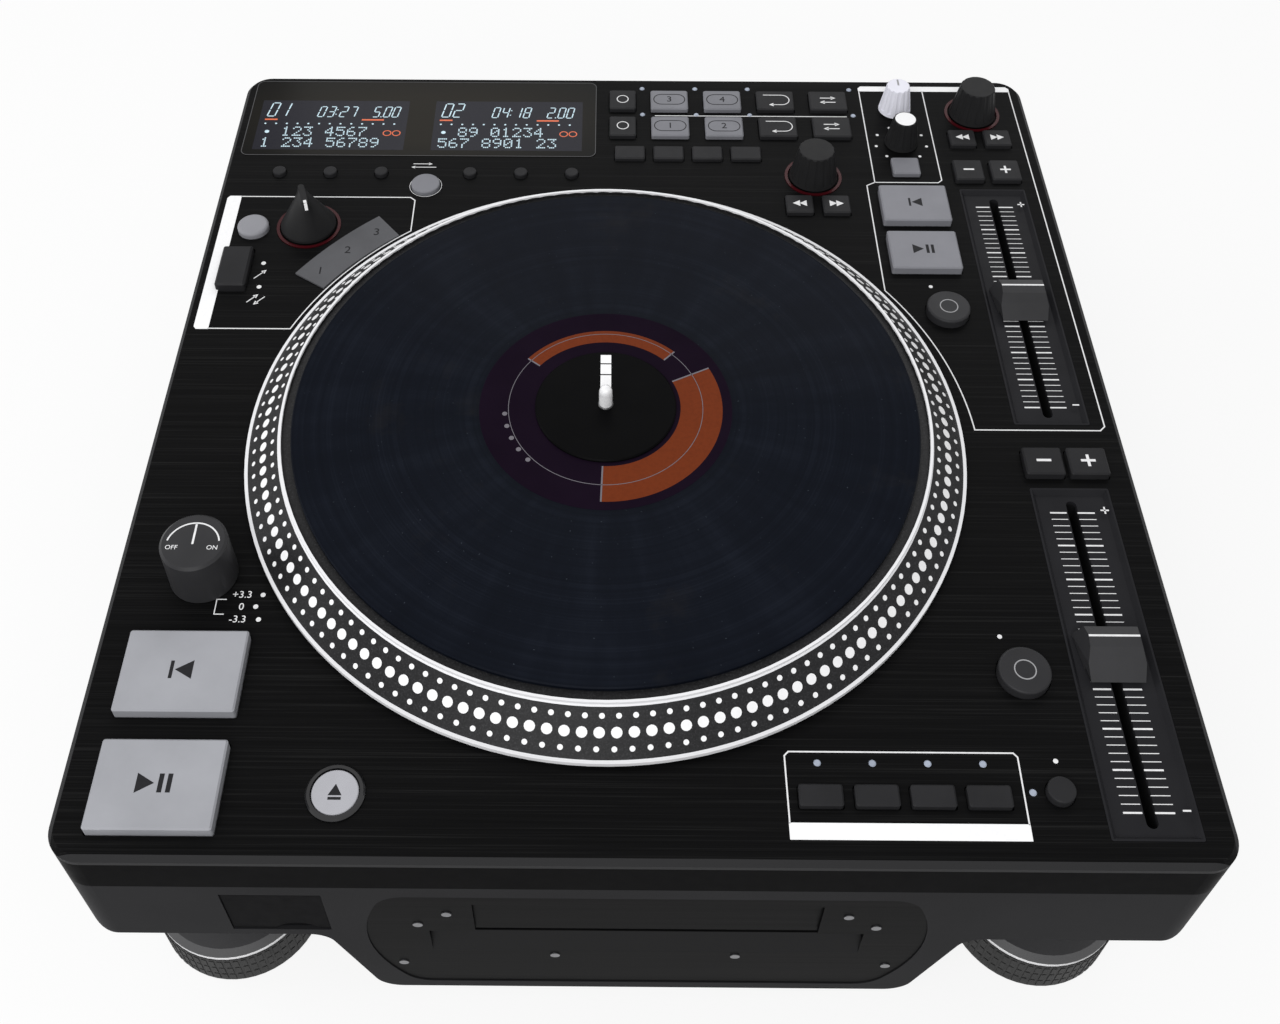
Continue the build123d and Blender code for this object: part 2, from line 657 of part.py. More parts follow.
def lower_case():
    outer = front_prism(case_section(0, band_z), front, rear)
    outer &= slab(body_w, body_d, 0, band_z, r=corner_r)
    inner = front_prism(case_section(case_wall, band_z + 1), front + case_wall, rear - case_wall)
    inner &= slab(body_w - 2 * case_wall, body_d - 2 * case_wall, 0, band_z + 1, r=corner_r - case_wall)
    case = outer - inner
    case -= front_prism(fascia_outline(seat_gap), front - 1, front + case_wall)
    case -= slab(door_w + 2 * door_gap, case_wall, door_top - door_h - door_gap, door_top + door_gap,
                 door_x, front + case_wall / 2)
    pin_l = door_w + 2 * door_gap + 2 * (door_pin_l + 0.2)
    case -= Pos(door_x, door_axis_y, door_axis_z) * Rot(0, 90, 0) * Cylinder(door_pin_r + shaft_gap, pin_l)
    case -= [rod(foot_stud_r + 0.2, tray_z - 1, floor_z + 1, x, y) for x, y in foot_places]
    case -= [rod(screw_r + 0.2, tray_z - 1, floor_z + 1, x, y) for x, y in boss_places]
    case -= [slab(w - 2 * socket_wall, case_wall, floor_z + socket_wall, floor_z + h - socket_wall,
                  x, rear - case_wall / 2) for x, w, h in socket_blocks]
    vents = [slab(vent_w, vent_l, tray_z - 1, floor_z + 1,
                  side * vent_x + (i - (vent_count - 1) / 2) * vent_pitch, 0, vent_w / 3)
             for side in (-1, 1) for i in range(vent_count)]
    return case - vents


def front_fascia():
    plate = front_prism(fascia_outline(0), fascia_front, fascia_back)
    back = front + case_wall
    plate += front_prism(fascia_outline(fascia_flange), back, back + fascia_flange_t)
    far = back + fascia_flange_t + 1
    plate -= slab(disc_slot_w, far - front + 2, slot_z - disc_slot_h / 2, slot_z + disc_slot_h / 2,
                  bulge_x, (front + far) / 2)
    band = slab(disc_slot_w - 26.0, recess_d, slot_z, slot_z + disc_slot_h / 2 + recess_h,
                bulge_x, fascia_front + recess_d / 2)
    low = slot_z - disc_slot_h / 2
    ramp = Polyline((fascia_front, low - lip_h), (fascia_front - 1, low - lip_h), (fascia_front - 1, low + 1),
                    (fascia_front + lip_d, low + 1), (fascia_front + lip_d, low), close=True)
    side = Plane(origin=(bulge_x, 0, 0), x_dir=(0, 1, 0), z_dir=(1, 0, 0))
    lip = extrude(make_face(side * ramp), disc_slot_w / 2, both=True)
    plate -= [band, lip]
    hole = Rot(90, 0, 0) * Cylinder(stud_r + shaft_gap, 7)
    return plate - [Pos(x, fascia_front, z) * hole for x, z in stud_places]


def fascia_studs():
    face = Rot(90, 0, 0)
    studs = []
    for x, z in stud_places:
        head = Pos(x, fascia_front - stud_head_t / 2, z) * face * Cylinder(stud_head_r, stud_head_t)
        shank = Pos(x, fascia_front + 1.5, z) * face * Cylinder(stud_r, 3.0)
        studs.append(head + shank)
    return studs


def media_door():
    """Flap over the card and memory sockets, hung on two pins along its top edge."""
    y0 = door_axis_y - door_t / 2
    low = door_top - door_h
    plate = slab(door_w, door_t, low, door_axis_z, door_x, door_axis_y)
    along = Pos(door_x, door_axis_y, door_axis_z) * Rot(0, 90, 0)
    edge = along * Cylinder(door_t / 2, door_w)
    pins = along * Cylinder(door_pin_r, door_w + 2 * door_pin_l)
    notch = Pos(door_x + door_w / 6, y0, low - notch_r * 0.45) * Rot(90, 0, 0) * Cylinder(notch_r, 1.6)
    return plate + edge + pins - notch


def media_bay():
    """Pocket behind the door, with a memory-stick socket above a card slot."""
    y0 = front + case_wall
    outer_w = door_w + 2 * bay_wall
    top = door_top + bay_wall
    bay = slab(outer_w, bay_d, floor_z, top, door_x, y0 + bay_d / 2)
    bay -= slab(door_w, pocket_d, floor_z + bay_wall, door_top, door_x, y0 + pocket_d / 2)
    reach = pocket_d + socket_d
    usb_z = door_z + usb_rise
    card_z = door_z - card_drop
    bay -= slab(usb_w, reach, usb_z - usb_h / 2, usb_z + usb_h / 2, door_x, y0 + reach / 2)
    return bay - slab(card_w, reach, card_z - card_h / 2, card_z + card_h / 2, door_x, y0 + reach / 2)


def disc_drive():
    """Slot-in drive: base on four legs, two rails, the rear block and a lid round the disc's way."""
    y0 = fascia_back + drive_gap
    y_mid = y0 + drive_l / 2
    low, high = slot_z - disc_slot_h / 2, slot_z + disc_slot_h / 2
    base = slab(drive_w, drive_l, low - drive_base_h, low, bulge_x, y_mid)
    for sx in (-1, 1):
        for sy in (-1, 1):
            base += slab(drive_leg, drive_leg, bulge_floor_z, low - drive_base_h,
                         bulge_x + sx * (drive_w / 2 - drive_leg), y_mid + sy * (drive_l / 2 - drive_leg))
    rail_w = (drive_w - disc_slot_w) / 2
    rails = [slab(rail_w, drive_l, low, high, bulge_x + s * (drive_w - rail_w) / 2, y_mid) for s in (-1, 1)]
    block = slab(disc_slot_w, drive_back, low, high, bulge_x, y0 + drive_l - drive_back / 2)
    lid = slab(drive_w, drive_l, high, high + drive_lid_t, bulge_x, y_mid)
    return [base, *rails, block, lid]


def rear_sockets():
    """Mains inlet with its three pins, and a row of four output jacks, each in a sunk housing."""
    y0 = rear - case_wall - socket_depth
    back = y0 + socket_wall
    blocks = []
    for x, w, h in socket_blocks:
        block = slab(w, socket_depth, floor_z, floor_z + h, x, y0 + socket_depth / 2)
        block -= slab(w - 2 * socket_wall, socket_depth - socket_wall, floor_z + socket_wall,
                      floor_z + h - socket_wall, x, back + (socket_depth - socket_wall) / 2)
        blocks.append(block)
    inlet, outputs = blocks
    (inlet_x, _, inlet_h), (jack_x, _, jack_h) = socket_blocks
    for x in inlet_pins:
        z = floor_z + inlet_h / 2 - inlet_drop - (0 if x else earth_drop)
        inlet += slab(inlet_pin_w, inlet_pin_l, z - inlet_pin_h / 2, z + inlet_pin_h / 2,
                      inlet_x + x, back + inlet_pin_l / 2)
    barrel = Rot(-90, 0, 0) * extrude(Circle(jack_r) - Circle(jack_r - jack_wall), jack_l)
    for place in jacks:
        outputs += Pos(jack_x + place * jack_pitch, back, floor_z + jack_h / 2) * barrel
    return [inlet, outputs]


def main_board():
    """Main circuit board on four pillars, with its chips and a heat sink."""
    y0 = fascia_back + drive_gap + drive_l + board_front
    y1 = rear - board_back
    board_d, y_mid = y1 - y0, (y0 + y1) / 2
    low = bulge_floor_z + board_lift
    board = slab(board_w, board_d, low, low + board_t, bulge_x, y_mid)
    for sx in (-1, 1):
        for sy in (-1, 1):
            board += rod(pillar_r, bulge_floor_z, low, bulge_x + sx * (board_w / 2 - 2 * pillar_r),
                         y_mid + sy * (board_d / 2 - 2 * pillar_r))
    for x, y, size, tall in chips:
        board += slab(size, size, low + board_t, low + board_t + tall, bulge_x + x, y_mid + y)
    return board


def power_supply():
    """Switching supply: its plate on the floor, the transformer, a heat sink and two capacitors."""
    top = floor_z + supply_t
    supply = slab(supply_w, supply_d, floor_z, top, supply_x, supply_y)
    w, d, tall = transformer
    supply += slab(w, d, top, top + tall, supply_x, supply_y - d / 4)
    w, d, tall = sink_fin
    supply += slab(w, d, top, top + tall, supply_x - supply_w / 2 + w, supply_y)
    for i in (1.3, 3.5):
        supply += rod(capacitor_r, top, top + capacitor_h, supply_x + supply_w / 6,
                      supply_y + supply_d / 2 - i * capacitor_r)
    return supply


def platter_motor():
    """Direct-drive motor that hangs from the panel, with the bearing bore for the spindle."""
    low = deck_z - motor_t
    can = rod(motor_r - 8.0, low, deck_z - 5.0, platter_x, platter_y)
    can += rod(motor_r, deck_z - 5.0, deck_z, platter_x, platter_y)
    return can - rod(shaft_r + shaft_gap, low, deck_z, platter_x, platter_y)


def spindle():
    hub_z = top_z + 1.0
    step = cap_z + cap_t + pin_base_over
    tip = top_z + pin_rise
    return turned([(0, deck_z - motor_t + 1.0), (shaft_r, deck_z - motor_t + 1.0), (shaft_r, deck_z + 0.5),
                   (spindle_flange_r, deck_z + 0.5), (spindle_flange_r, hub_z), (pin_base_r, hub_z),
                   (pin_base_r, step), (pin_r, step), (pin_r, tip - pin_tip), (pin_r - 0.9, tip),
                   (0, tip)], platter_x, platter_y)


def platter():
    """Dish with a sloping wall, a flat top ring, the record well and a hub on the spindle's flange."""
    low = top_z + platter_gap
    rim = low + platter_rim_t
    crest = top_z + platter_h
    well = crest - well_d
    under = well - deck_t
    bore = pin_base_r + shaft_gap
    well_r = platter_top_r - ring_w
    inner_low = platter_r - 1.2 - platter_wall
    return turned([(bore, top_z + 1.0), (hub_r, top_z + 1.0), (hub_r, under),
                   (inner_low - (under - low), under), (inner_low, low), (platter_r, low), (platter_r, rim),
                   (platter_r - 1.0, rim), (platter_top_r, crest - platter_lip), (platter_top_r, crest),
                   (well_r, crest), (well_r - 0.2, well), (bore, well)], platter_x, platter_y)


def flat_ring(bore, r, z0, t, edge=0.0):
    disc = rod(r, z0, z0 + t, platter_x, platter_y)
    if edge:
        disc = chamfer(top_edges(disc), edge)
    return disc - rod(bore, z0 - 1, z0 + t + 1, platter_x, platter_y)


slip_z = top_z + platter_h - well_d
record_z = slip_z + slip_t + record_gap
cap_z = record_z + record_t


def foot_stem(x, y):
    """Metal disc on the tread, its neck up to the floor, and the stud and nut that hold it."""
    low = tread_h + foot_ring_t
    disc = rod(foot_ring_r, low, low + foot_disc_t, x, y)
    disc = chamfer(top_edges(disc), 1.9)
    disc += rod(foot_neck_r, low, tray_z, x, y)
    disc += rod(foot_stud_r, tray_z, floor_z + foot_nut_t + 1.5, x, y)
    return disc + rod(foot_nut_r, floor_z, floor_z + foot_nut_t, x, y)


def foot_tread(x, y):
    return chamfer(rod(foot_r, 0, tread_h, x, y).faces().sort_by(Axis.Z)[0].edges(), 0.8)


def case_screw(x, y):
    shank = rod(screw_r, tray_z, floor_z + screw_l - 1.0, x, y)
    return shank + rod(screw_head_r, tray_z - screw_head_t, tray_z, x, y)


def display_modules():
    """Two readout modules on a board that hangs under the window."""
    top = deck_z - 4.0
    w, d = aperture_w + 4.0, window_d - 2.0
    board = slab(w, d, top - board_t, top, window_x, window_y)
    for sx in (-1, 1):
        for sy in (-1, 1):
            board += rod(1.5, top, deck_z, window_x + sx * (w / 2 - 1.8), window_y + sy * (d / 2 - 1.8))
    for s in (-1, 1):
        board += slab(readout_w, readout_d, top, top_z - window_t + window_proud - 0.3,
                      window_x + s * readout_pitch / 2, window_y - readout_drop)
    return board


def lamp(x, y):
    return chamfer(top_edges(rod(lamp_r, deck_z - board_drop, top_z + lamp_proud, x, y)), 0.3)


def eject_bezel():
    bore = eject_r + key_gap
    ring = rod(bore + bezel_w, top_z - light_ring_sink, top_z + bezel_proud, eject_x, eject_y)
    ring = chamfer(top_edges(ring), 0.5)
    return ring - rod(bore, deck_z, top_z + 2, eject_x, eject_y)


parts = {
    "top_panel": [top_panel()],
    "upper_case": [upper_case()],
    "lower_case": [lower_case()],
    "front_fascia": [front_fascia()],
    "media_bay": [media_bay()],
    "media_door": [media_door()],
    "display_window": [slab(window_w, window_d, top_z - window_t + window_proud, top_z + window_proud,
                            window_x, window_y, window_r)],
    "display_modules": [display_modules()],
    "fader_trays": [fader_tray(y) for y in fader_ys.values()],
    "fader_tracks": [fader_track(y) for y in fader_ys.values()],
    "knob_light_rings": [light_ring(*select_xy, select_base_r), light_ring(*second_select_xy, select_base_r),
                         light_ring(*selector_xy, selector_base_r)],
    "mode_lens": [sector(lens_r_in, lens_r_out, lens_from, lens_to, deck_z, top_z + lens_proud)],
    "indicator_lamps": [lamp(x, y) for x, y in lamps],
    "eject_bezel": [eject_bezel()],
    "foot_treads": [foot_tread(x, y) for x, y in foot_places],
    "foot_rings": [rod(foot_ring_r, tread_h, tread_h + foot_ring_t, x, y) for x, y in foot_places],
    "foot_stems": [foot_stem(x, y) for x, y in foot_places],
    "case_screws": [case_screw(x, y) for x, y in boss_places] + fascia_studs(),
    "key_boards": [key_board(edges) for edges in boards],
    "main_board": [main_board()],
    "power_supply": [power_supply()],
    "disc_drive": disc_drive(),
    "rear_sockets": rear_sockets(),
    "platter_motor": [platter_motor()],
    "spindle": [spindle()],
    "platter": [platter()],
    "slip_mat": [flat_ring(pin_base_r + 0.2, slip_r, slip_z, slip_t)],
    "record": [flat_ring(pin_base_r + shaft_gap, record_r, record_z, record_t, 0.4)],
    "centre_cap": [flat_ring(pin_base_r + shaft_gap, cap_r, cap_z, cap_t, 0.4)],
    "select_knob": [fluted_knob(*select_xy, select_base_r, select_top_r, select_rise, select_flutes)],
    "second_select_knob": [fluted_knob(*second_select_xy, select_base_r, select_top_r, select_rise,
                                       select_flutes)],
    "effect_knob": [fluted_knob(*effect_xy, effect_base_r, effect_top_r, effect_rise, effect_flutes)],
    "mix_knob": [fluted_knob(*mix_xy, effect_base_r, effect_top_r, effect_rise, effect_flutes)],
    "mode_selector_knob": [mode_selector()],
    "platter_knob": [platter_knob()],
    "direction_rocker": [direction_rocker()],
}
parts.update({name: [fader_cap(y)] for name, y in fader_ys.items()})
parts.update({name: [key_flat(*key) for key in keys] for name, keys in rect_keys.items()})
parts.update({name: [key_round(*key) for key in keys] for name, keys in round_keys.items()})

os.makedirs("parts", exist_ok=True)
for name, pieces in parts.items():
    solids = [solid for piece in pieces for solid in piece.solids()]
    shape = solids[0] if len(solids) == 1 else Compound(children=solids)
    shape.label = name
    export_step(shape, f"parts/{name}.step")
print(len(parts), "nodes")
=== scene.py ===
import json
import math
import bmesh
import bpy
from mathutils import Matrix, Vector


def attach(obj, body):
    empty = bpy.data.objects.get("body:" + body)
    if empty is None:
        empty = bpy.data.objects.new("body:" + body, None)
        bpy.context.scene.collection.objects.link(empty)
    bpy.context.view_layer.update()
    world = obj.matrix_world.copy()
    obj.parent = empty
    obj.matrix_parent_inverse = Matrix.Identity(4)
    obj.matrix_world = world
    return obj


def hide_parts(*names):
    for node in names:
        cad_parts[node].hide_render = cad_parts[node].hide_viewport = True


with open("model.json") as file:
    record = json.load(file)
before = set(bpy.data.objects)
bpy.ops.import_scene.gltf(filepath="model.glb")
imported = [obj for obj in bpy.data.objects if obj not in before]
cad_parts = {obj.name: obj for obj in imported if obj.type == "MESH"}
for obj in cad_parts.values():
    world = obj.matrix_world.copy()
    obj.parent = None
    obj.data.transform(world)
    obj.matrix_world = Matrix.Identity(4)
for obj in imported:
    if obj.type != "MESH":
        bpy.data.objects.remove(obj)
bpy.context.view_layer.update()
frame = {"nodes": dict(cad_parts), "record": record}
nodes = frame["nodes"]
scene = bpy.context.scene
mm = 0.001                      # every size below is in millimetres
platterAxis = (-10.4, -22.2, 0)
cx, cy = platterAxis[:2]
print("frame loaded:", len(nodes), "parts")


# Node tools

def feed(tree, node, values):
    # Give a node's inputs their values, or a link where the value is another node's socket
    for key, value in values.items():
        if isinstance(value, bpy.types.NodeSocket):
            tree.links.new(value, node.inputs[key])
        else:
            node.inputs[key].default_value = value


def addNode(tree, kind, values=None, **settings):
    node = tree.nodes.new(kind)
    for key, value in settings.items():
        setattr(node, key, value)
    feed(tree, node, values or {})
    return node


def calc(tree, operation, *values):
    return addNode(tree, "ShaderNodeMath", dict(enumerate(values)), operation=operation).outputs[0]


def combine(tree, *parts):
    return addNode(tree, "ShaderNodeCombineXYZ", dict(enumerate(parts))).outputs[0]


def objectSpot(tree, scale=(1, 1, 1), centre=(0, 0, 0)):
    # Object coordinates in metres from centre, stretched by scale
    spot = addNode(tree, "ShaderNodeTexCoord").outputs["Object"]
    shift = addNode(tree, "ShaderNodeVectorMath", {0: spot, 1: [-v * mm for v in centre]}, operation="ADD")
    stretch = addNode(tree, "ShaderNodeVectorMath", {0: shift.outputs[0], 1: scale}, operation="MULTIPLY")
    return stretch.outputs[0]


def axes(tree, centre=(0, 0, 0)):
    return addNode(tree, "ShaderNodeSeparateXYZ", {0: objectSpot(tree, centre=centre)}).outputs


def distance(tree, x, y):
    return calc(tree, "SQRT", calc(tree, "ADD", calc(tree, "POWER", x, 2.0), calc(tree, "POWER", y, 2.0)))


def noise(tree, spot, scale, detail=3.0, roughness=0.55):
    return addNode(tree, "ShaderNodeTexNoise", {"Vector": spot, "Scale": scale, "Detail": detail,
                                                "Roughness": roughness}).outputs["Fac"]


def ramp(tree, source, *stops):
    # Each stop is a place and a colour, or a place and a grey level
    node = addNode(tree, "ShaderNodeValToRGB", {0: source})
    points = node.color_ramp.elements
    while len(points) < len(stops):
        points.new(0.5)
    for point, (place, colour) in zip(points, stops):
        point.position = place
        point.color = (*colour, 1) if isinstance(colour, tuple) else (colour, colour, colour, 1)
    return node.outputs[0]


def mixColours(tree, amount, *colours):
    first, second = ((*c, 1) if isinstance(c, tuple) else c for c in colours)
    return addNode(tree, "ShaderNodeMix", {0: amount, 6: first, 7: second}, data_type="RGBA").outputs[2]


def bump(tree, height, strength, depth):
    return addNode(tree, "ShaderNodeBump", {"Height": height, "Strength": strength,
                                            "Distance": depth * mm}).outputs[0]


# Materials

def startMaterial(name, colour, roughness, metallic=0.0, specular=0.5):
    finish = bpy.data.materials.new(name)
    finish.use_nodes = True
    tree = finish.node_tree
    shader = tree.nodes["Principled BSDF"]
    feed(tree, shader, {"Base Color": (*colour, 1), "Roughness": roughness, "Metallic": metallic,
                        "Specular IOR Level": specular})
    return finish, tree, shader


def scaled(colour, amount):
    return tuple(c * amount for c in colour)


def cloudyFinish(name, colour, roughness, specular, cloud, tones, grain):
    # Colour that drifts between tones over a cloud, with a fine grain; cloud holds a scale and a detail,
    # grain holds those two and a strength and depth
    finish, tree, shader = startMaterial(name, colour, roughness, specular=specular)
    spot = objectSpot(tree)
    scale, detail, strength, depth = grain
    feed(tree, shader, {"Base Color": ramp(tree, noise(tree, spot, *cloud), *tones),
                        "Normal": bump(tree, noise(tree, spot, scale, detail), strength, depth)})
    return finish


def mouldedPlastic(name, colour, roughness, grain, uneven, specular):
    # Moulded plastic: a fine grain, and a colour and sheen that vary a little
    finish = cloudyFinish(name, colour, roughness, specular, (55.0, 4.0),
                          ((0.3, scaled(colour, 1 - uneven)), (0.7, scaled(colour, 1 + uneven))),
                          (2600.0, 2.0, grain, 0.04))
    tree = finish.node_tree
    sheen = noise(tree, objectSpot(tree), 240.0)
    feed(tree, tree.nodes["Principled BSDF"],
         {"Roughness": ramp(tree, sheen, (0.3, roughness * 0.88), (0.7, roughness * 1.12))})
    return finish


def inkFinish(name, colour, roughness=0.45, uneven=0.14):
    # Screen-printed ink, very slightly uneven
    return cloudyFinish(name, colour, roughness, 0.06, (900.0, 3.0),
                        ((0.25, scaled(colour, 1 - uneven)), (0.6, colour)), (2400.0, 3.0, 0.12, 0.02))


def rubberFinish(name):
    return cloudyFinish(name, (0.010, 0.010, 0.010), 0.62, 0.3, (120.0, 3.0), ((0.3, 0.006), (0.7, 0.016)),
                        (1700.0, 3.0, 0.4, 0.06))


def brushedPlate(name, colour, light, roughness, specular, edge=None, lipHighlight=None):
    # Plate brushed from left to right, with long fine streaks; its bevel is painted paler and its slanted
    # lip a plain paler colour, both painted highlights where they catch light from above
    finish, tree, shader = startMaterial(name, colour, roughness, specular=specular)
    fine = noise(tree, objectSpot(tree, (14, 2600, 2600)), 1.0, 4.0, 0.7)
    long = noise(tree, objectSpot(tree, (7, 1300, 1300)), 1.0, 3.0, 0.6)
    streak = calc(tree, "MULTIPLY", fine, long)
    tone = ramp(tree, streak, (0.12, scaled(colour, 0.6)), (0.3, colour), (0.46, light))
    x, y, z = axes(tree)
    # Painted highlight: the slanted lip takes a plain paler colour where light from above falls on it
    if lipHighlight:
        across = calc(tree, "COMPARE", x, lipHighlight["x"] * mm, lipHighlight["half"] * mm)
        upright = calc(tree, "COMPARE", z, lipHighlight["z"] * mm, lipHighlight["tall"] / 2 * mm)
        tone = mixColours(tree, calc(tree, "MULTIPLY", across, upright), tone, lipHighlight["colour"])
    # Painted highlight: the bevel round the plate's edge takes a paler colour where it catches light from
    # above
    if edge:
        aside = calc(tree, "GREATER_THAN", calc(tree, "ABSOLUTE", x), edge["x"] * mm)
        along = calc(tree, "GREATER_THAN", calc(tree, "ABSOLUTE", y), edge["y"] * mm)
        tone = mixColours(tree, calc(tree, "MAXIMUM", aside, along), tone, edge["colour"])
    feed(tree, shader, {"Base Color": tone, "Normal": bump(tree, streak, 0.25, 0.03),
                        "Roughness": ramp(tree, fine, (0.3, roughness * 0.8), (0.7, roughness * 1.25))})
    return finish


def paintedMetal(name, colour, roughness, specular):
    # Satin paint with a very fine orange peel and a few paler specks
    finish, tree, shader = startMaterial(name, colour, roughness, specular=specular)
    spot = objectSpot(tree)
    cloud = noise(tree, spot, 18.0, 4.0)
    tone = ramp(tree, cloud, (0.3, scaled(colour, 0.86)), (0.7, scaled(colour, 1.14)))
    speck = ramp(tree, noise(tree, spot, 3100.0, 1.0), (0.68, 0), (0.74, 1))
    feed(tree, shader, {"Base Color": mixColours(tree, speck, tone, scaled(colour, 1.5)),
                        "Normal": bump(tree, noise(tree, spot, 1500.0, 2.0), 0.18, 0.04)})
    return finish


def turnedMetal(name, colour, roughness):
    # Metal with the fine rings of a lathe about an upright axis
    finish, tree, shader = startMaterial(name, colour, roughness, metallic=1.0)
    x, y, z = axes(tree)
    climb = calc(tree, "MULTIPLY", calc(tree, "ADD", distance(tree, x, y), z), 26000.0)
    spotty = noise(tree, objectSpot(tree), 900.0)
    feed(tree, shader, {"Base Color": ramp(tree, spotty, (0.3, scaled(colour, 0.86)),
                                           (0.7, scaled(colour, 1.08))),
                        "Normal": bump(tree, calc(tree, "SINE", climb), 0.12, 0.02)})
    return finish


def litInk(name, colour):
    # Display segment that gives a little light of its own
    finish, tree, shader = startMaterial(name, colour, 0.4)
    tone = ramp(tree, noise(tree, objectSpot(tree), 1200.0), (0.3, scaled(colour, 0.8)), (0.7, colour))
    feed(tree, shader, {"Base Color": tone, "Emission Color": tone, "Emission Strength": 0.28})
    return finish


def platterFinish():
    # Black cast dish with a fine grain, and bright turned rings at its rim and crest
    look = {"crestIn": 101.3, "crestLow": 111.6, "rimIn": 113.25, "colour": (0.015, 0.015, 0.016),
            "ring": (0.78, 0.78, 0.80)}
    finish, tree, shader = startMaterial("platterCasting", look["colour"], 0.42, specular=0.14)
    x, y, z = axes(tree, platterAxis)
    away = distance(tree, x, y)
    crest = calc(tree, "MULTIPLY", calc(tree, "GREATER_THAN", away, look["crestIn"] * mm),
                 calc(tree, "GREATER_THAN", z, look["crestLow"] * mm))
    bright = calc(tree, "MAXIMUM", crest, calc(tree, "GREATER_THAN", away, look["rimIn"] * mm))
    grain = noise(tree, objectSpot(tree), 1900.0, 4.0, 0.7)
    dark = ramp(tree, grain, *((place, scaled(look["colour"], amount))
                               for place, amount in ((0.3, 0.5), (0.56, 1.2), (0.72, 3.2))))
    feed(tree, shader, {"Base Color": mixColours(tree, bright, dark, look["ring"]),
                        "Roughness": ramp(tree, bright, (0.0, 0.4), (1.0, 0.22)),
                        "Normal": bump(tree, grain, 0.3, 0.04)})
    return finish


def vinylFinish():
    # Pressed vinyl: fine grooves that stretch a highlight outwards, broader bands, painted highlight rays
    # round the record, and a little dust
    look = {"colour": (0.0042, 0.0056, 0.0096), "paleBandsAndPaintedRays": (0.0080, 0.0102, 0.0164),
            "dust": (0.014, 0.0135, 0.0145), "speck": (0.05, 0.06, 0.075), "stretch": 0.85,
            "grooves": 1400.0, "bands": 260.0, "rays": 6.0, "rayBend": 20.0, "shares": (0.35, 0.35, 0.3)}
    finish, tree, shader = startMaterial("pressedVinyl", look["colour"], 0.3, specular=0.028)
    x, y, z = axes(tree, platterAxis)
    away, turn = distance(tree, x, y), calc(tree, "ARCTAN2", y, x)
    rings = [noise(tree, combine(tree, calc(tree, "MULTIPLY", away, look[key])), 1.0, 4.0, 0.7)
             for key in ("grooves", "bands")]
    # Painted highlight: soft rays of light round the record, made from a noise over the turn and painted
    # into its colour
    paintedRayNoise = noise(tree, combine(tree, calc(tree, "MULTIPLY", calc(tree, "SINE", turn), look["rays"]),
                                calc(tree, "MULTIPLY", calc(tree, "COSINE", turn), look["rays"]),
                                calc(tree, "MULTIPLY", away, look["rayBend"])), 1.0, 5.0, 0.6)
    fine, broad, paintedRays = (calc(tree, "MULTIPLY", part, share)
                            for part, share in zip((*rings, paintedRayNoise), look["shares"]))
    groovesBandsAndPaintedRays = calc(tree, "ADD", calc(tree, "ADD", fine, broad), paintedRays)
    # The paler end of this tone comes partly from the broad bands and partly from the painted highlight
    # rays
    tone = ramp(tree, groovesBandsAndPaintedRays, (0.38, scaled(look["colour"], 0.7)), (0.5, look["colour"]),
                (0.62, look["paleBandsAndPaintedRays"]))
    dust = ramp(tree, noise(tree, objectSpot(tree), 26.0, 5.0, 0.7), (0.58, 0), (0.76, 0.5))
    speck = ramp(tree, noise(tree, objectSpot(tree), 1100.0, 1.0), (0.75, 0), (0.80, 0.6))
    dusty = mixColours(tree, dust, tone, look["dust"])
    feed(tree, shader, {"Base Color": mixColours(tree, speck, dusty, look["speck"]),
                        "Normal": bump(tree, rings[0], 0.3, 0.04),
                        "Tangent": combine(tree, x, y), "Anisotropic": look["stretch"]})
    return finish


def spindleFinish():
    # Bright turned pin above a dark plated base
    look = {"bright": (0.8, 0.8, 0.82), "base": (0.03, 0.03, 0.032), "from": 115.35}
    finish, tree, shader = startMaterial("spindlePin", look["bright"], 0.22)
    upper = calc(tree, "GREATER_THAN", axes(tree)[2], look["from"] * mm)
    spotty = noise(tree, objectSpot(tree), 700.0)
    cloud = ramp(tree, spotty, (0.3, (0.74, 0.74, 0.76)), (0.7, (0.9, 0.9, 0.91)))
    feed(tree, shader, {"Base Color": mixColours(tree, upper, look["base"], cloud)})
    return finish


def boardFinish():
    # Circuit board green with faint tracks
    finish, tree, shader = startMaterial("circuitBoard", (0.01, 0.05, 0.024), 0.4)
    cells = addNode(tree, "ShaderNodeTexVoronoi", {"Vector": objectSpot(tree), "Scale": 420.0},
                    distance="MANHATTAN")
    feed(tree, shader, {"Base Color": ramp(tree, cells.outputs["Distance"], (0.3, (0.008, 0.04, 0.02)),
                                           (0.6, (0.02, 0.09, 0.045)))})
    return finish


def windowFinish():
    # Smoked display glass, brownish in the middle and darker towards its edges, glossy
    look = {"middle": (0.0175, 0.0155, 0.012), "edge": (0.0085, 0.0085, 0.0082),
            "centre": (-83.4, 136.4, 0)}
    finish, tree, shader = startMaterial("displayGlass", look["middle"], 0.12, specular=0.025)
    spot = objectSpot(tree, (8.5, 24.0, 1.0), look["centre"])
    reach = addNode(tree, "ShaderNodeVectorMath", {0: spot}, operation="LENGTH").outputs["Value"]
    feed(tree, shader, {"Base Color": ramp(tree, reach, (0.34, look["middle"]), (0.78, look["edge"])),
                        "Normal": bump(tree, noise(tree, objectSpot(tree), 30.0), 0.02, 0.2)})
    return finish


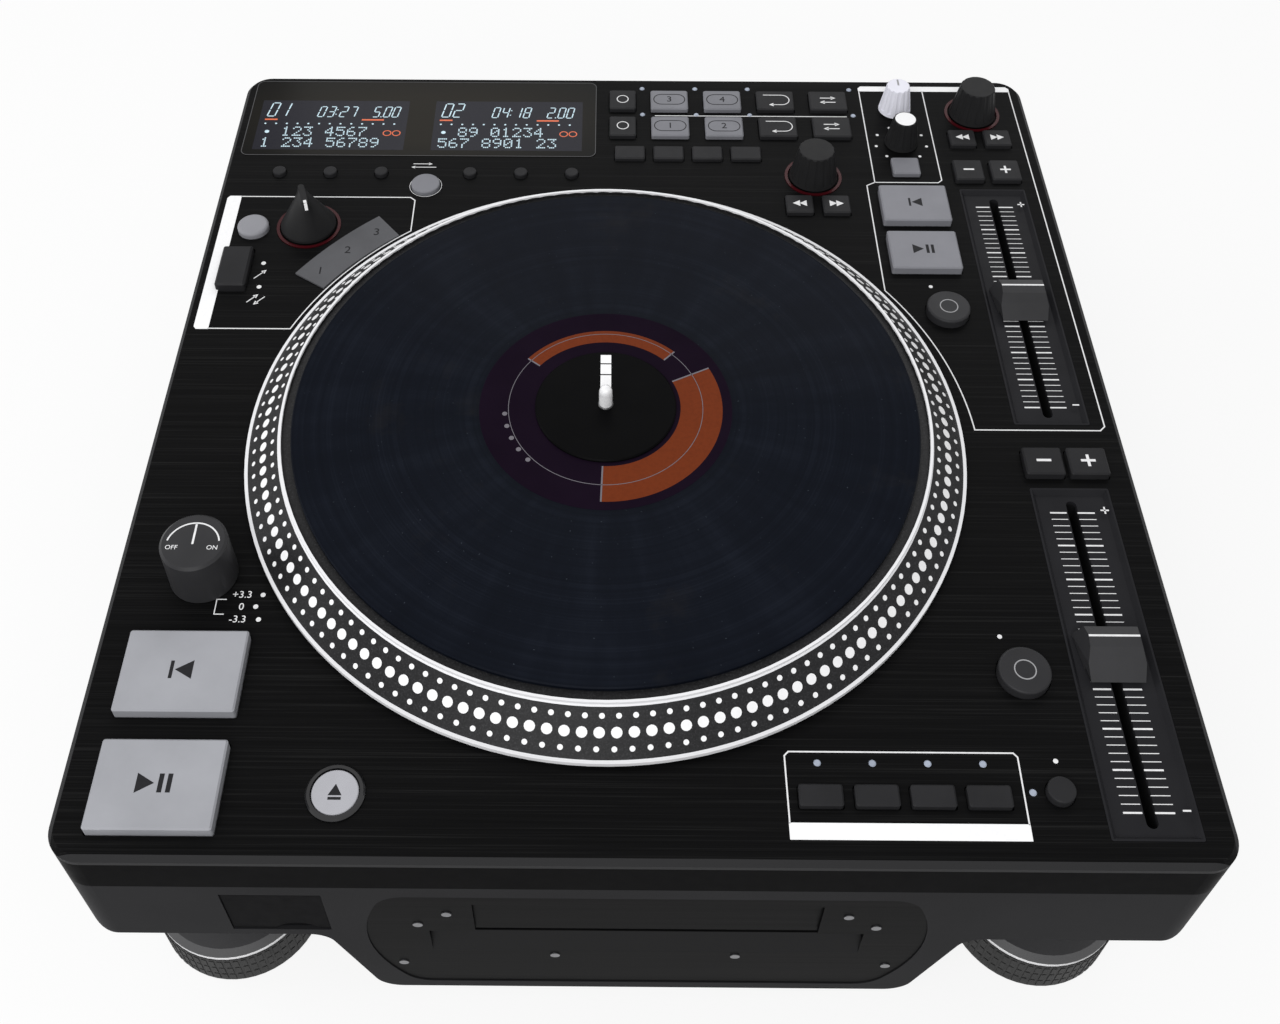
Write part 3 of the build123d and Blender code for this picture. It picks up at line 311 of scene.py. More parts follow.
# Plastics, by material slot and then by the part's own name: finish, colour, roughness, strength of the
# grain, unevenness of the colour, and specular level
plastics = {
    "band": ("bandPlastic", (0.0036, 0.0036, 0.0038), 0.36, 0.12, 0.12, 0.004),
    "readout": ("readoutCase", (0.02, 0.022, 0.018), 0.3, 0.25, 0.12, 0.12),
    "black_plastic": ("blackPlastic", (0.010, 0.010, 0.0105), 0.44, 0.3, 0.12, 0.035),
    "key_light": ("lightKeys", (0.315, 0.32, 0.345), 0.42, 0.15, 0.06, 0.2),
    "key_mid": ("midKeys", (0.190, 0.192, 0.212), 0.45, 0.15, 0.08, 0.12),
    "key_dark": ("darkKeys", (0.021, 0.021, 0.0225), 0.4, 0.2, 0.12, 0.06),
    "knob_black": ("blackKnobs", (0.0165, 0.0165, 0.0172), 0.34, 0.15, 0.12, 0.06),
    "knob_white": ("whiteKnob", (0.78, 0.78, 0.86), 0.35, 0.1, 0.04, 0.12),
    "ring_red": ("redRing", (0.040, 0.0022, 0.0042), 0.3, 0.05, 0.12, 0.12),
    "lamp": ("lampTips", (0.34, 0.38, 0.46), 0.2, 0.05, 0.12, 0.12),
    "centre_cap": ("capPlastic", (0.0024, 0.0024, 0.0026), 0.4, 0.12, 0.12, 0.02),
    # Painted shade: the second deck's cue and play keys take a darker copy of the light keys, for the
    # weaker light towards the back
    "second_cue_key": ("shadedRearKeys", (0.212, 0.214, 0.236), 0.42, 0.15, 0.06, 0.12),
    "pitch_fader": ("faderCaps", (0.026, 0.026, 0.028), 0.38, 0.2, 0.12, 0.20),
    "platter_knob": ("platterKnobPlastic", (0.030, 0.030, 0.032), 0.34, 0.15, 0.12, 0.12),
    "tap_button": ("tapPlastic", (0.025, 0.025, 0.027), 0.4, 0.2, 0.12, 0.12),
    "media_door": ("doorPlastic", (0.0055, 0.0055, 0.006), 0.44, 0.2, 0.12, 0.006),
    "disc_mode_button": ("modeButton", (0.265, 0.267, 0.29), 0.42, 0.15, 0.06, 0.12),
    "eject_button": ("ejectButton", (0.39, 0.392, 0.42), 0.42, 0.15, 0.06, 0.12),
    "mode_lens": ("lensPlastic", (0.098, 0.099, 0.106), 0.42, 0.08, 0.1, 0.04),
    "fader_trays": ("trayPlastic", (0.017, 0.017, 0.019), 0.42, 0.2, 0.12, 0.04),
    "eject_bezel": ("ejectRing", (0.008, 0.008, 0.009), 0.14, 0.05, 0.12, 0.5),
    "foot_rings": ("footRings", (0.80, 0.80, 0.81), 0.25, 0.05, 0.03, 0.5),
}
finishes = {key: mouldedPlastic(*row) for key, row in plastics.items()}
finishes |= {
    # The panel's outer colour is a painted highlight on its bevel
    "panel": brushedPlate("brushedPanel", (0.0042, 0.0042, 0.0044), (0.0115, 0.0115, 0.0115), 0.46, 0.030,
                          {"x": 154.4, "y": 160.9, "colour": (0.026, 0.026, 0.027)}),
    "case": paintedMetal("casePaint", (0.0150, 0.0150, 0.0162), 0.46, 0.017),
    # The fascia's lip colour is a painted highlight on its slanted lip under the slot
    "fascia": brushedPlate("brushedFascia", (0.0036, 0.0036, 0.0038), (0.0095, 0.0095, 0.0095), 0.36, 0.012,
                           lipHighlight={"x": 2.0, "half": 61.0, "z": 42.4, "tall": 9.2,
                                "colour": (0.017, 0.017, 0.0175)}),
    "window": windowFinish(),
    "board": boardFinish(),
    "metal_box": paintedMetal("foldedSteel", (0.32, 0.32, 0.33), 0.38, 0.6),
    "drive_alloy": paintedMetal("pressedAlloy", (0.30, 0.30, 0.31), 0.42, 0.6),
    "steel": turnedMetal("darkSteel", (0.20, 0.20, 0.21), 0.36),
    "platter": platterFinish(),
    "spindle": spindleFinish(),
    "felt": cloudyFinish("slipFelt", (0.008, 0.008, 0.009), 0.95, 0.5, (1500.0, 5.0),
                         ((0.3, (0.004, 0.004, 0.005)), (0.7, (0.02, 0.02, 0.022))),
                         (3000.0, 4.0, 0.6, 0.1)),
    "vinyl": vinylFinish(),
    "foot_metal": paintedMetal("footPaint", (0.05, 0.05, 0.052), 0.3, 0.5),
    "rubber": rubberFinish("treadRubber"),
    "second_play_key": finishes["second_cue_key"],
    "second_pitch_fader": finishes["pitch_fader"],
    "second_tap_button": finishes["tap_button"],
}
for row in frame["record"]["subparts"]:
    mesh = nodes[row["node"]].data
    mesh.materials.clear()
    mesh.materials.append(finishes.get(row["node"]) or finishes[row["material_slot"]])

# Inks, each paired with a material slot name
whiteInk = inkFinish("whiteInk", (0.80, 0.80, 0.81)), "knob_white"
boldWhite = inkFinish("dotPaint", (0.90, 0.90, 0.91), 0.35, 0.05), "knob_white"
greyInk = inkFinish("greyInk", (0.34, 0.34, 0.35)), "key_mid"
darkInk = inkFinish("darkInk", (0.020, 0.020, 0.022)), "knob_black"
print("finishes made:", len(bpy.data.materials))


# Outlines: lists of points on a flat face

def spotFrom(x, y, away, turn):
    return x + away * math.cos(math.radians(turn)), y + away * math.sin(math.radians(turn))


def arc(x, y, radius, start, end, steps):
    return [spotFrom(x, y, radius, start + (end - start) * i / steps) for i in range(steps + 1)]


def circle(x, y, radius, steps):
    return arc(x, y, radius, 0, 360 - 360 / steps, steps - 1)


def rectangle(x0, y0, x1, y1):
    return [(x0, y0), (x1, y0), (x1, y1), (x0, y1)]


def bar(x, y, width, depth):
    return rectangle(x - width / 2, y - depth / 2, x + width / 2, y + depth / 2)


def polygon(points, x, y, size, turn=0.0):
    c, s = math.cos(math.radians(turn)), math.sin(math.radians(turn))
    return [(x + size * (px * c - py * s), y + size * (px * s + py * c)) for px, py in points]


# Strokes: each returns a drawing that is made in a mesh between two heights

def prism(outline):
    # Upright prism from an outline, turned so that its faces point outwards
    area = sum(a[0] * b[1] - b[0] * a[1] for a, b in zip(outline, outline[1:] + outline[:1]))
    points = outline if area >= 0 else outline[::-1]

    def draw(shape, low, high):
        under, over = ([shape.verts.new((x, y, z)) for x, y in points] for z in (low, high))
        shape.faces.new(over)
        shape.faces.new(under[::-1])
        for i in range(len(points)):
            j = (i + 1) % len(points)
            shape.faces.new((under[i], under[j], over[j], over[i]))
    return draw


def strip(path, width, closed=False):
    # Flat line of an even width along a path, mitred at its corners
    sharpest = 0.4
    count = len(path)
    sides = []
    for i, (x, y) in enumerate(path):
        before = path[i - 1] if i or closed else None
        after = path[(i + 1) % count] if i < count - 1 or closed else None
        ways = []
        for a, b in ((before, (x, y)), ((x, y), after)):
            if a and b:
                length = math.hypot(b[0] - a[0], b[1] - a[1])
                ways.append(((b[0] - a[0]) / length, (b[1] - a[1]) / length))
        nx = -sum(w[1] for w in ways)
        ny = sum(w[0] for w in ways)
        size = math.hypot(nx, ny)
        nx, ny = nx / size, ny / size
        out = width / 2 / max(sharpest, -ways[0][1] * nx + ways[0][0] * ny)
        sides.append(((x + nx * out, y + ny * out), (x - nx * out, y - ny * out)))

    def draw(shape, low, high):
        rows = [[shape.verts.new((*spot, z)) for spot in pair for z in (low, high)] for pair in sides]
        for i in range(count if closed else count - 1):
            a, b = rows[i], rows[(i + 1) % count]
            for face in ((a[1], a[3], b[3], b[1]), (a[0], b[0], b[2], a[2]),
                         (a[0], a[1], b[1], b[0]), (a[3], a[2], b[2], b[3])):
                shape.faces.new(face)
        if not closed:
            a, b = rows[0], rows[-1]
            shape.faces.new((a[0], a[2], a[3], a[1]))
            shape.faces.new((b[0], b[1], b[3], b[2]))
    return draw


def sign(words, x, y, size):
    # Raised lettering, centred on a spot; made a mesh before it is placed
    look = {"lift": 0.02, "thick": 0.05, "steps": 3}

    def draw(shape, low, high):
        curve = bpy.data.curves.new("letters", "FONT")
        curve.body = words
        curve.size = size
        curve.extrude = look["thick"] / 2
        curve.align_x, curve.align_y = "CENTER", "CENTER"
        curve.resolution_u = look["steps"]
        mesh = takeMesh(addObject("letters", curve))
        mesh.transform(Matrix.Translation((x, y, low + look["lift"] + look["thick"] / 2)))
        shape.from_mesh(mesh)
        bpy.data.meshes.remove(mesh)
    return draw


# Pieces

def addObject(name, data):
    thing = bpy.data.objects.new(name, data)
    scene.collection.objects.link(thing)
    return thing


def takeMesh(holder):
    # Keep the mesh that an object is drawn with, and drop the object
    view = bpy.context.evaluated_depsgraph_get()
    mesh = bpy.data.meshes.new_from_object(holder.evaluated_get(view), depsgraph=view)
    bpy.data.objects.remove(holder)
    return mesh


def settle(name, mesh, body):
    piece = addObject(name, mesh)
    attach(piece, body)
    return piece


def makePiece(name, body, finish, slot, strokes, low, high, place=Matrix(), smooth=False):
    # Draw strokes in millimetres between two heights, scale them to metres and put them on a body
    shape = bmesh.new()
    for stroke in strokes:
        stroke(shape, low, high)
    bmesh.ops.transform(shape, matrix=place, verts=shape.verts)
    bmesh.ops.scale(shape, vec=(mm, mm, mm), verts=shape.verts)
    mesh = bpy.data.meshes.new(name)
    shape.to_mesh(mesh)
    shape.free()
    mesh.materials.append(finish)
    for face in mesh.polygons:
        face.use_smooth = smooth
    return settle(name, mesh, body)


def printOn(name, body, finish, slot, z, strokes, thick=0.05):
    # Thin print on a flat face at height z, sunk a little so that no light shows under it
    sunk = 0.02
    makePiece(name, body, finish, slot, strokes, z - sunk, z + thick)


def grow(name, body, finish, slot, tree, values, points=()):
    # Run a tree on a mesh of loose points and keep its result as one plain mesh
    seed = bpy.data.meshes.new(name + "Seed")
    seed.from_pydata([[v * mm for v in p] for p in points], [], [])
    holder = addObject(name + "Seed", seed)
    modifier = holder.modifiers.new("repeat", "NODES")
    modifier.node_group = tree
    values["Finish"] = finish
    for socket in tree.interface.items_tree:
        if socket.in_out == "INPUT" and socket.name in values:
            modifier[socket.identifier] = values[socket.name]
    settle(name, takeMesh(holder), body)


# Geometry Nodes

def newTree(name, sockets):
    # Each input takes its kind from its first value
    kinds = {int: "Int", float: "Float", tuple: "Vector"}
    tree = bpy.data.node_groups.new(name, "GeometryNodeTree")
    tree.interface.new_socket("Geometry", in_out="INPUT", socket_type="NodeSocketGeometry")
    for label, value in sockets.items():
        kind = "NodeSocket" + kinds[type(value)]
        tree.interface.new_socket(label, in_out="INPUT", socket_type=kind).default_value = value
    tree.interface.new_socket("Finish", in_out="INPUT", socket_type="NodeSocketMaterial")
    tree.interface.new_socket("Geometry", in_out="OUTPUT", socket_type="NodeSocketGeometry")
    return tree, tree.nodes.new("NodeGroupInput").outputs


def closeTree(tree, given, instances):
    real = addNode(tree, "GeometryNodeRealizeInstances", {0: instances})
    paint = addNode(tree, "GeometryNodeSetMaterial", {"Geometry": real.outputs[0],
                                                      "Material": given["Finish"]})
    addNode(tree, "NodeGroupOutput", {0: paint.outputs[0]})
    return tree


def instancesOn(tree, points, instance, **more):
    put = addNode(tree, "GeometryNodeInstanceOnPoints", {"Points": points, "Instance": instance, **more})
    return put.outputs[0]


def evenRing(tree, count, radius):
    # A ring of points, and the turn of each of them
    ring = addNode(tree, "GeometryNodeMeshCircle", {"Vertices": count, "Radius": radius})
    index = addNode(tree, "GeometryNodeInputIndex").outputs[0]
    return ring.outputs[0], calc(tree, "MULTIPLY", index, calc(tree, "DIVIDE", 2 * math.pi, count))


def roundStud(tree, sides, radius, height):
    return addNode(tree, "GeometryNodeMeshCylinder", {"Vertices": sides, "Radius": radius,
                                                      "Depth": height}).outputs["Mesh"]


def block(tree, size):
    return addNode(tree, "GeometryNodeMeshCube", {"Size": size}).outputs[0]


def pointRow(tree, count, start, step):
    return addNode(tree, "GeometryNodeMeshLine", {"Count": count, "Start Location": start,
                                                  "Offset": step}).outputs[0]


def studRingTree():
    # Round studs set in a ring, each tilted to stand square on a sloping wall
    tree, given = newTree("studRing", {
        "Count": 12, "Ring Radius": 0.1, "Stud Radius": 0.001, "Stud Height": 0.0001, "Tilt": 0.0,
        "Start": 0.0, "Centre": (0, 0, 0)})
    ring, turn = evenRing(tree, given["Count"], given["Ring Radius"])
    stud = roundStud(tree, 14, given["Stud Radius"], given["Stud Height"])
    studs = instancesOn(tree, ring, stud, Rotation=combine(tree, 0.0, given["Tilt"], turn))
    move = addNode(tree, "GeometryNodeTransform", {
        "Geometry": studs, "Translation": given["Centre"],
        "Rotation": combine(tree, 0.0, 0.0, given["Start"])})
    return closeTree(tree, given, move.outputs[0])


def blockRowTree():
    # Row of small blocks; every so many of them is a bolder one
    tree, given = newTree("blockRow", {
        "Count": 10, "Spacing": (0, 0.002, 0), "Start": (0, 0, 0), "Block": (0.005, 0.0003, 0.0001),
        "Bold Every": 5, "Bold Scale": 2.0})
    line = pointRow(tree, given["Count"], given["Start"], given["Spacing"])
    index = addNode(tree, "GeometryNodeInputIndex").outputs[0]
    bold = calc(tree, "LESS_THAN", calc(tree, "MODULO", index, given["Bold Every"]), 0.5)
    extra = calc(tree, "MULTIPLY", bold, calc(tree, "SUBTRACT", given["Bold Scale"], 1.0))
    size = combine(tree, 1.0, calc(tree, "ADD", extra, 1.0), 1.0)
    return closeTree(tree, given, instancesOn(tree, line, block(tree, given["Block"]), Scale=size))


def ribRingTree():
    # Grid of ribs round an upright drum: rows of short blocks, one row above the other
    tree, given = newTree("ribRing", {
        "Ribs": 60, "Rows": 4, "Drum Radius": 0.02, "First Height": 0.002, "Row Step": 0.004,
        "Rib": (0.0005, 0.001, 0.003)})
    ring, turn = evenRing(tree, given["Ribs"], given["Drum Radius"])
    ribs = instancesOn(tree, ring, block(tree, given["Rib"]), Rotation=combine(tree, 0.0, 0.0, turn))
    rows = pointRow(tree, given["Rows"], combine(tree, 0.0, 0.0, given["First Height"]),
                    combine(tree, 0.0, 0.0, given["Row Step"]))
    drum = instancesOn(tree, rows, ribs)
    return closeTree(tree, given, instancesOn(tree, given["Geometry"], drum))


def scatterTree():
    # One small round stud at every given point
    tree, given = newTree("scatterStuds", {"Radius": 0.001, "Height": 0.0002, "Sides": 16})
    stud = roundStud(tree, given["Sides"], given["Radius"], given["Height"])
    return closeTree(tree, given, instancesOn(tree, given["Geometry"], stud))


studRing, blockRow, ribRing, scatterStuds = studRingTree(), blockRowTree(), ribRingTree(), scatterTree()


# Platter: three rows of painted dots on the sloping wall

dots = {"count": 143, "foot": (113.3, 102.0), "crest": (102.2, 112.0), "proud": 0.05,
        "rows": {"outer": (0.20, 0.80, -0.15), "middle": (0.50, 1.56, 0.0), "inner": (0.80, 0.80, 0.15)}}
(footRadius, footHeight), (crestRadius, crestHeight) = dots["foot"], dots["crest"]
for rowName, (along, dotRadius, shift) in dots["rows"].items():
    ringRadius = footRadius + along * (crestRadius - footRadius)
    height = footHeight + along * (crestHeight - footHeight)
    grow("platterDots_" + rowName, "platter", boldWhite[0], "chrome", studRing, {
        "Count": dots["count"], "Ring Radius": ringRadius * mm, "Stud Radius": dotRadius * mm,
        "Stud Height": 2 * dots["proud"] * mm,
        "Tilt": math.atan2(crestHeight - footHeight, footRadius - crestRadius),
        "Start": shift * 2 * math.pi / dots["count"], "Centre": (cx * mm, cy * mm, height * mm)})
print("platter dots set:", 3 * dots["count"])


# Record: printed label with bands, lines and dots, and the stripe on the centre cap

label = {"radius": 39.8, "hole": 2.6, "height": 113.65, "paper": (0.0072, 0.0036, 0.0092),
         "orange": (0.142, 0.026, 0.006), "faint": (0.16, 0.15, 0.17), "ring": (30.6, 0.2),
         "bands": [(23.6, 36.8, -92, 26), (27.0, 32.0, 46, 142)],
         "dots": [(31.8, 186 + 9 * i) for i in range(5)], "dot": 0.8}
labelSheet = [strip(circle(cx, cy, (label["radius"] + label["hole"]) / 2, 96),
                    label["radius"] - label["hole"], closed=True)]
labelBands = [strip(arc(cx, cy, (inner + outer) / 2, start, end, 40), outer - inner)
              for inner, outer, start, end in label["bands"]]
labelLines = [strip(circle(cx, cy, label["ring"][0], 96), label["ring"][1], closed=True)]
labelLines += [strip([spotFrom(cx, cy, r, turn) for r in (inner, outer)], 0.5)
               for inner, outer, *turns in label["bands"] for turn in turns]
labelLines += [prism(circle(*spotFrom(cx, cy, *spot), label["dot"], 16)) for spot in label["dots"]]
paper = mouldedPlastic("labelPaper", label["paper"], 0.5, 0.1, 0.12, 0.012)
orangeInk, faintInk = inkFinish("orangeInk", label["orange"], 0.5), inkFinish("faintInk", label["faint"])
printOn("recordLabel", "record", paper, "vinyl", label["height"], labelSheet)
printOn("labelBands", "record", orangeInk, "vinyl", label["height"] + 0.05, labelBands, 0.03)
printOn("labelLines", "record", faintInk, "vinyl", label["height"] + 0.08, labelLines, 0.03)

capStripe = {"width": 3.4, "height": 114.65,
             "segments": [(4.0, 6.2), (6.6, 12.0), (12.5, 16.6), (17.1, 20.6)]}
printOn("capStripe", "record", *boldWhite, capStripe["height"],
        [prism(bar(cx, cy + (start + end) / 2, capStripe["width"], end - start))
         for start, end in capStripe["segments"]])

spindle = {"steps": 40, "profile": [(0, 81.0), (5.0, 81.0), (5.0, 96.5), (14.0, 96.5), (14.0, 100.0),
                                    (2.4, 100.0), (2.4, 115.05), (2.2, 115.25), (2.1, 115.3), (2.1, 120.4),
                                    (2.05, 121.2), (1.86, 121.9), (1.5, 122.5), (0.95, 122.85),
                                    (0.4, 122.98), (0, 123.0)]}


def drawSpindle(shape, low, high):
    # Turned shape whose profile starts and ends in one point on the axis
    rings = [[shape.verts.new((x, y, z)) for x, y in (circle(cx, cy, radius, spindle["steps"])
                                                      if radius else [(cx, cy)])]
             for radius, z in spindle["profile"]]
    for a, b in zip(rings, rings[1:]):
        for i in range(spindle["steps"]):
            j = (i + 1) % spindle["steps"]
            face = [a[i % len(a)], a[j % len(a)], b[j % len(b)], b[i % len(b)]]
            shape.faces.new([v for k, v in enumerate(face) if v not in face[:k]])


spindlePiece = makePiece("spindlePin", "platter", finishes["spindle"], "spindle", [drawSpindle],
                         81.0, 123.0, smooth=True)
spindlePiece.data.set_sharp_from_angle(angle=math.radians(40))
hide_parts("spindle")
print("record and spindle dressed")


# Panel print: boxes, bars, arrows and bullets

panelTop = 99.0
lineWidth = 0.42
mixKnob = {"x": 103.7, "y": 122.9, "top": 111.2, "disc": 3.9, "scale": (9.9, -50, 230, 7),
           "dot": {"Radius": 0.6 * mm, "Height": 0.1 * mm}}


def alongPlatter(first, second, steps=24):
    # Points of an arc about the platter from one spot to another, easing between their radii
    (a0, r0), (a1, r1) = ((math.degrees(math.atan2(y - cy, x - cx)), math.hypot(x - cx, y - cy))
                          for x, y in (first, second))
    return [spotFrom(cx, cy, r0 + (r1 - r0) * i / steps, a0 + (a1 - a0) * i / steps)
            for i in range(steps + 1)]


panelLines = [
    [(90.9, 155.2), (90.9, 100.2), (87.7, 98.4)] + alongPlatter((87.7, 43.3), (109.0, -19.0))
    + [(149.6, -19.0), (151.3, -17.3), (151.3, 155.2)],
    [(116.4, 155.2), (116.4, 101.6), (114.9, 100.2), (90.9, 100.2)],
    [(38.65, -151.2), (38.65, -132.2), (39.8, -131.0), (100.9, -131.0), (101.9, -132.2), (101.55, -151.2)],
    [(-147.3, 90.2), (-83.9, 90.2), (-82.1, 88.6), (-82.1, 72.1)]
    + alongPlatter((-82.1, 72.1), (-118.9, 23.3))[1:] + [(-147.3, 23.3)]]
panelBars = [
    [(90.65, 155.0), (151.55, 155.0), (151.55, 156.9), (150.4, 158.1), (91.8, 158.1), (90.65, 156.9)],
    [(38.4, -151.0), (101.8, -151.0), (101.7, -155.6), (38.4, -155.6)],
    [(-152.3, 24.2), (-151.4, 23.0), (-147.1, 23.0), (-147.1, 90.5), (-151.4, 90.5), (-152.3, 89.3)]]
arrowHead = [(-0.5, -0.62), (0.62, 0.0), (-0.5, 0.62)]


def arrow(x, y, length, turn, width=0.35, head=1.5):
    tail, tip = (spotFrom(x, y, d, turn) for d in (-length / 2, length / 2 - head * 0.5))
    return [strip([tail, tip], width), prism(polygon(arrowHead, *tip, head, turn))]


def bullets(radius, *spots):
    return [prism(circle(x, y, radius, 16)) for x, y in spots]


# One plus and one minus at the ends of each fader's scale
scaleEnds = [strip(path, 0.5) for y in (-98.65, 40.05) for path in (
    [(142.6, y + 48.3), (145.2, y + 48.3)], [(143.9, y + 47.0), (143.9, y + 49.6)],
    [(142.8, y - 48.3), (145.0, y - 48.3)])]
panelMarks = (
    bullets(0.85, (-133.2, 55.0), (-132.9, 43.2))
    + arrow(-133.6, 49.4, 5.6, 48) + arrow(-134.4, 37.6, 5.0, 48) + arrow(-131.8, 36.6, 5.0, 228)
    + arrow(-81.0, 109.2, 7.2, 0, 0.3, 1.2) + arrow(-80.35, 107.3, 9.3, 180, 0.3, 1.2)
    + [strip(circle(-78.8, 96.7, 6.0, 36), 0.18, closed=True)]
    + bullets(0.75, (-110.9, -82.8), (-112.4, -86.8), (-110.9, -91.1))
    + [strip([(-121.3, -84.4), (-124.2, -84.4), (-124.2, -89.4), (-121.3, -89.4)], 0.3)]
    + bullets(0.7, (103.6, -95.0), (104.1, 45.4), (112.0, -133.2))
    + [sign("+3.3", -117.0, -82.8, 3.3), sign("0", -116.6, -86.9, 3.3), sign("-3.3", -117.0, -91.1, 3.3)]
    + scaleEnds)
printOn("panelLines", "chassis", *whiteInk, panelTop,
        [strip(path, lineWidth) for path in panelLines] + [strip([(8.4, 138.85), (84.4, 138.85)], 0.4)])
printOn("panelBars", "chassis", *boldWhite, panelTop, [prism(outline) for outline in panelBars])
printOn("panelMarks", "chassis", *whiteInk, panelTop, panelMarks)
grow("mixScaleDots", "chassis", *whiteInk, scatterStuds, mixKnob["dot"],
     [(*spot, panelTop) for spot in arc(mixKnob["x"], mixKnob["y"], *mixKnob["scale"])])
print("panel printed")


# Faders: graduated scales and index lines

fader = {"x": 134.5, "centres": {"pitch_fader": -98.65, "second_pitch_fader": 40.05}, "ticks": 41,
         "spacing": 2.415, "floor": 97.5, "sides": {"left": (127.4, 132.5), "right": (135.9, 141.2)},
         "lift": 0.01, "minor": 0.24, "thick": 0.08, "every": 5, "bold": 2.2,
         "index": {"shift": 0.75, "size": (14.6, 0.6), "heights": (104.93, 105.06)}}
index = fader["index"]
for faderBody, centre in fader["centres"].items():
    for side, (x0, x1) in fader["sides"].items():
        grow(f"{faderBody}Scale_{side}", "chassis", *whiteInk, blockRow, {
            "Count": fader["ticks"], "Spacing": (0, fader["spacing"] * mm, 0),
            "Start": ((x0 + x1) / 2 * mm, (centre - fader["spacing"] * (fader["ticks"] - 1) / 2) * mm,
                      (fader["floor"] + fader["lift"]) * mm),
            "Block": ((x1 - x0) * mm, fader["minor"] * mm, fader["thick"] * mm),
            "Bold Every": fader["every"], "Bold Scale": fader["bold"]})
    makePiece(faderBody + "Index", faderBody, *whiteInk,
              [prism(bar(fader["x"], centre + index["shift"], *index["size"]))], *index["heights"])
print("faders graduated")


# Display: seven-segment digits, dot rows and outlines under the glass

glassTop = 99.2
segments = {"a": ((0, 2), (1, 2)), "b": ((1, 1), (1, 2)), "c": ((1, 0), (1, 1)), "d": ((0, 0), (1, 0)),
            "e": ((0, 0), (0, 1)), "f": ((0, 1), (0, 2)), "g": ((0, 1), (1, 1))}
shown = {"0": "abcdef", "1": "bc", "2": "abged", "3": "abgcd", "4": "fgbc", "5": "afgcd", "7": "abc",
         "8": "abcdefg"}
matrixSigns = {"0": (14, 17, 19, 21, 25, 17, 14), "1": (4, 12, 4, 4, 4, 4, 14),
               "2": (14, 17, 1, 2, 4, 8, 31), "3": (31, 2, 4, 2, 1, 17, 14), "4": (2, 6, 10, 18, 31, 2, 2),
               "5": (31, 16, 30, 1, 1, 17, 14), "6": (6, 8, 16, 30, 17, 17, 14),
               "7": (31, 1, 2, 4, 8, 8, 8), "8": (14, 17, 17, 14, 17, 17, 14),
               "9": (14, 17, 17, 15, 1, 2, 12)}
readouts = {-145.9: {"track": "01", "clock": "0327500", "first": "123 4567", "second": "1 234 56789"},
            -76.8: {"track": "02", "clock": "0418200", "first": "89 01234", "second": "567 8901 23"}}
display = {"slant": 0.18, "pitch": 0.71, "dot": 0.54, "rowStep": 1.15, "first": (8.2, 130.3),
           "second": (0.8, 123.7), "track": (0.7, 5.1), "trackDigit": (137.0, 3.0, 8.2, 0.5),
           "clock": (20.6, 24.3, 29.2, 32.9, 42.4, 46.6, 50.0), "clockDigit": (136.8, 2.3, 6.2, 0.45),
           "stop": (0.5, 0.5), "stops": ((27.9, 138.4), (28.3, 141.2), (45.8, 136.9)),
           "bullet": (2.2, 127.6, 0.9), "bars": ((0.2, 5.2), (38.5, 47.2)), "rings": (49.3, 52.9),
           "dots": {"along": 0.8, "y": 132.5, "step": 4.23, "count": 13, "radius": 0.42, "height": 0.08}}


def digit(numeral, x, y, wide, tall, stroke):
    strips = []
    for part in shown[numeral]:
        ends = [(x + u * wide + (v * tall / 2) * display["slant"], y + v * tall / 2)
                for u, v in segments[part]]
        dx, dy = ends[1][0] - ends[0][0], ends[1][1] - ends[0][1]
        cut = stroke * 0.55 / math.hypot(dx, dy)
        strips.append(strip([(ends[0][0] + dx * cut, ends[0][1] + dy * cut),
                             (ends[1][0] - dx * cut, ends[1][1] - dy * cut)], stroke))
    return strips


def matrixRow(signs, x, y):
    pitch, dot, tall = display["pitch"], display["dot"], display["rowStep"]
    return [prism(bar(x + (k * 6 + column) * pitch, y - row * pitch * tall, dot, dot * tall))
            for k, numeral in enumerate(signs) for row, bits in enumerate(matrixSigns.get(numeral, ()))
            for column in range(5) if bits >> (4 - column) & 1]


cyanStrokes, orangeStrokes, fieldStrokes = [], [], []
for x, rows in readouts.items():
    for numeral, along in zip(rows["track"], display["track"]):
        cyanStrokes += digit(numeral, x + along, *display["trackDigit"])
    for numeral, along in zip(rows["clock"], display["clock"]):
        cyanStrokes += digit(numeral, x + along, *display["clockDigit"])
    cyanStrokes += [prism(bar(x + along, y, *display["stop"])) for along, y in display["stops"]]
    along, y, radius = display["bullet"]
    cyanStrokes.append(prism(circle(x + along, y, radius, 12)))
    for key in ("first", "second"):
        along, y = display[key]
        cyanStrokes += matrixRow(rows[key], x + along, y)
    orangeStrokes += [prism(rectangle(x + x0, 134.6, x + x1, 135.4)) for x0, x1 in display["bars"]]
    orangeStrokes += [strip(circle(x + along, 127.0, 1.5, 20), 0.4, closed=True)
                      for along in display["rings"]]
    fieldStrokes.append(prism(rectangle(x - 2.0, 117.0, x + 56.5, 146.8)))
windowCorners = (-17.7, 156.3, 0), (-149.1, 156.3, 90), (-149.1, 116.5, 180), (-17.7, 116.5, 270)
windowEdge = [spot for x, y, start in windowCorners for spot in arc(x, y, 2.7, start, start + 90, 6)]
cyanGlow = litInk("cyanSegments", (0.50, 0.66, 0.74))
prints = {
    "displaySegments": (cyanGlow, cyanStrokes, 0.04),
    "displayAccents": (litInk("orangeSegments", (0.62, 0.10, 0.02)), orangeStrokes, 0.04),
    "displayFields": (inkFinish("fieldInk", (0.0125, 0.0125, 0.019), 0.2), fieldStrokes, 0.015),
    "displayEdge": (inkFinish("edgeInk", (0.085, 0.085, 0.088)),
                    [strip(windowEdge, 0.3, closed=True)], 0.04),
}
for printName, (ink, strokes, thick) in prints.items():
    printOn(printName, "chassis", ink, "readout", glassTop, strokes, thick)
row = display["dots"]
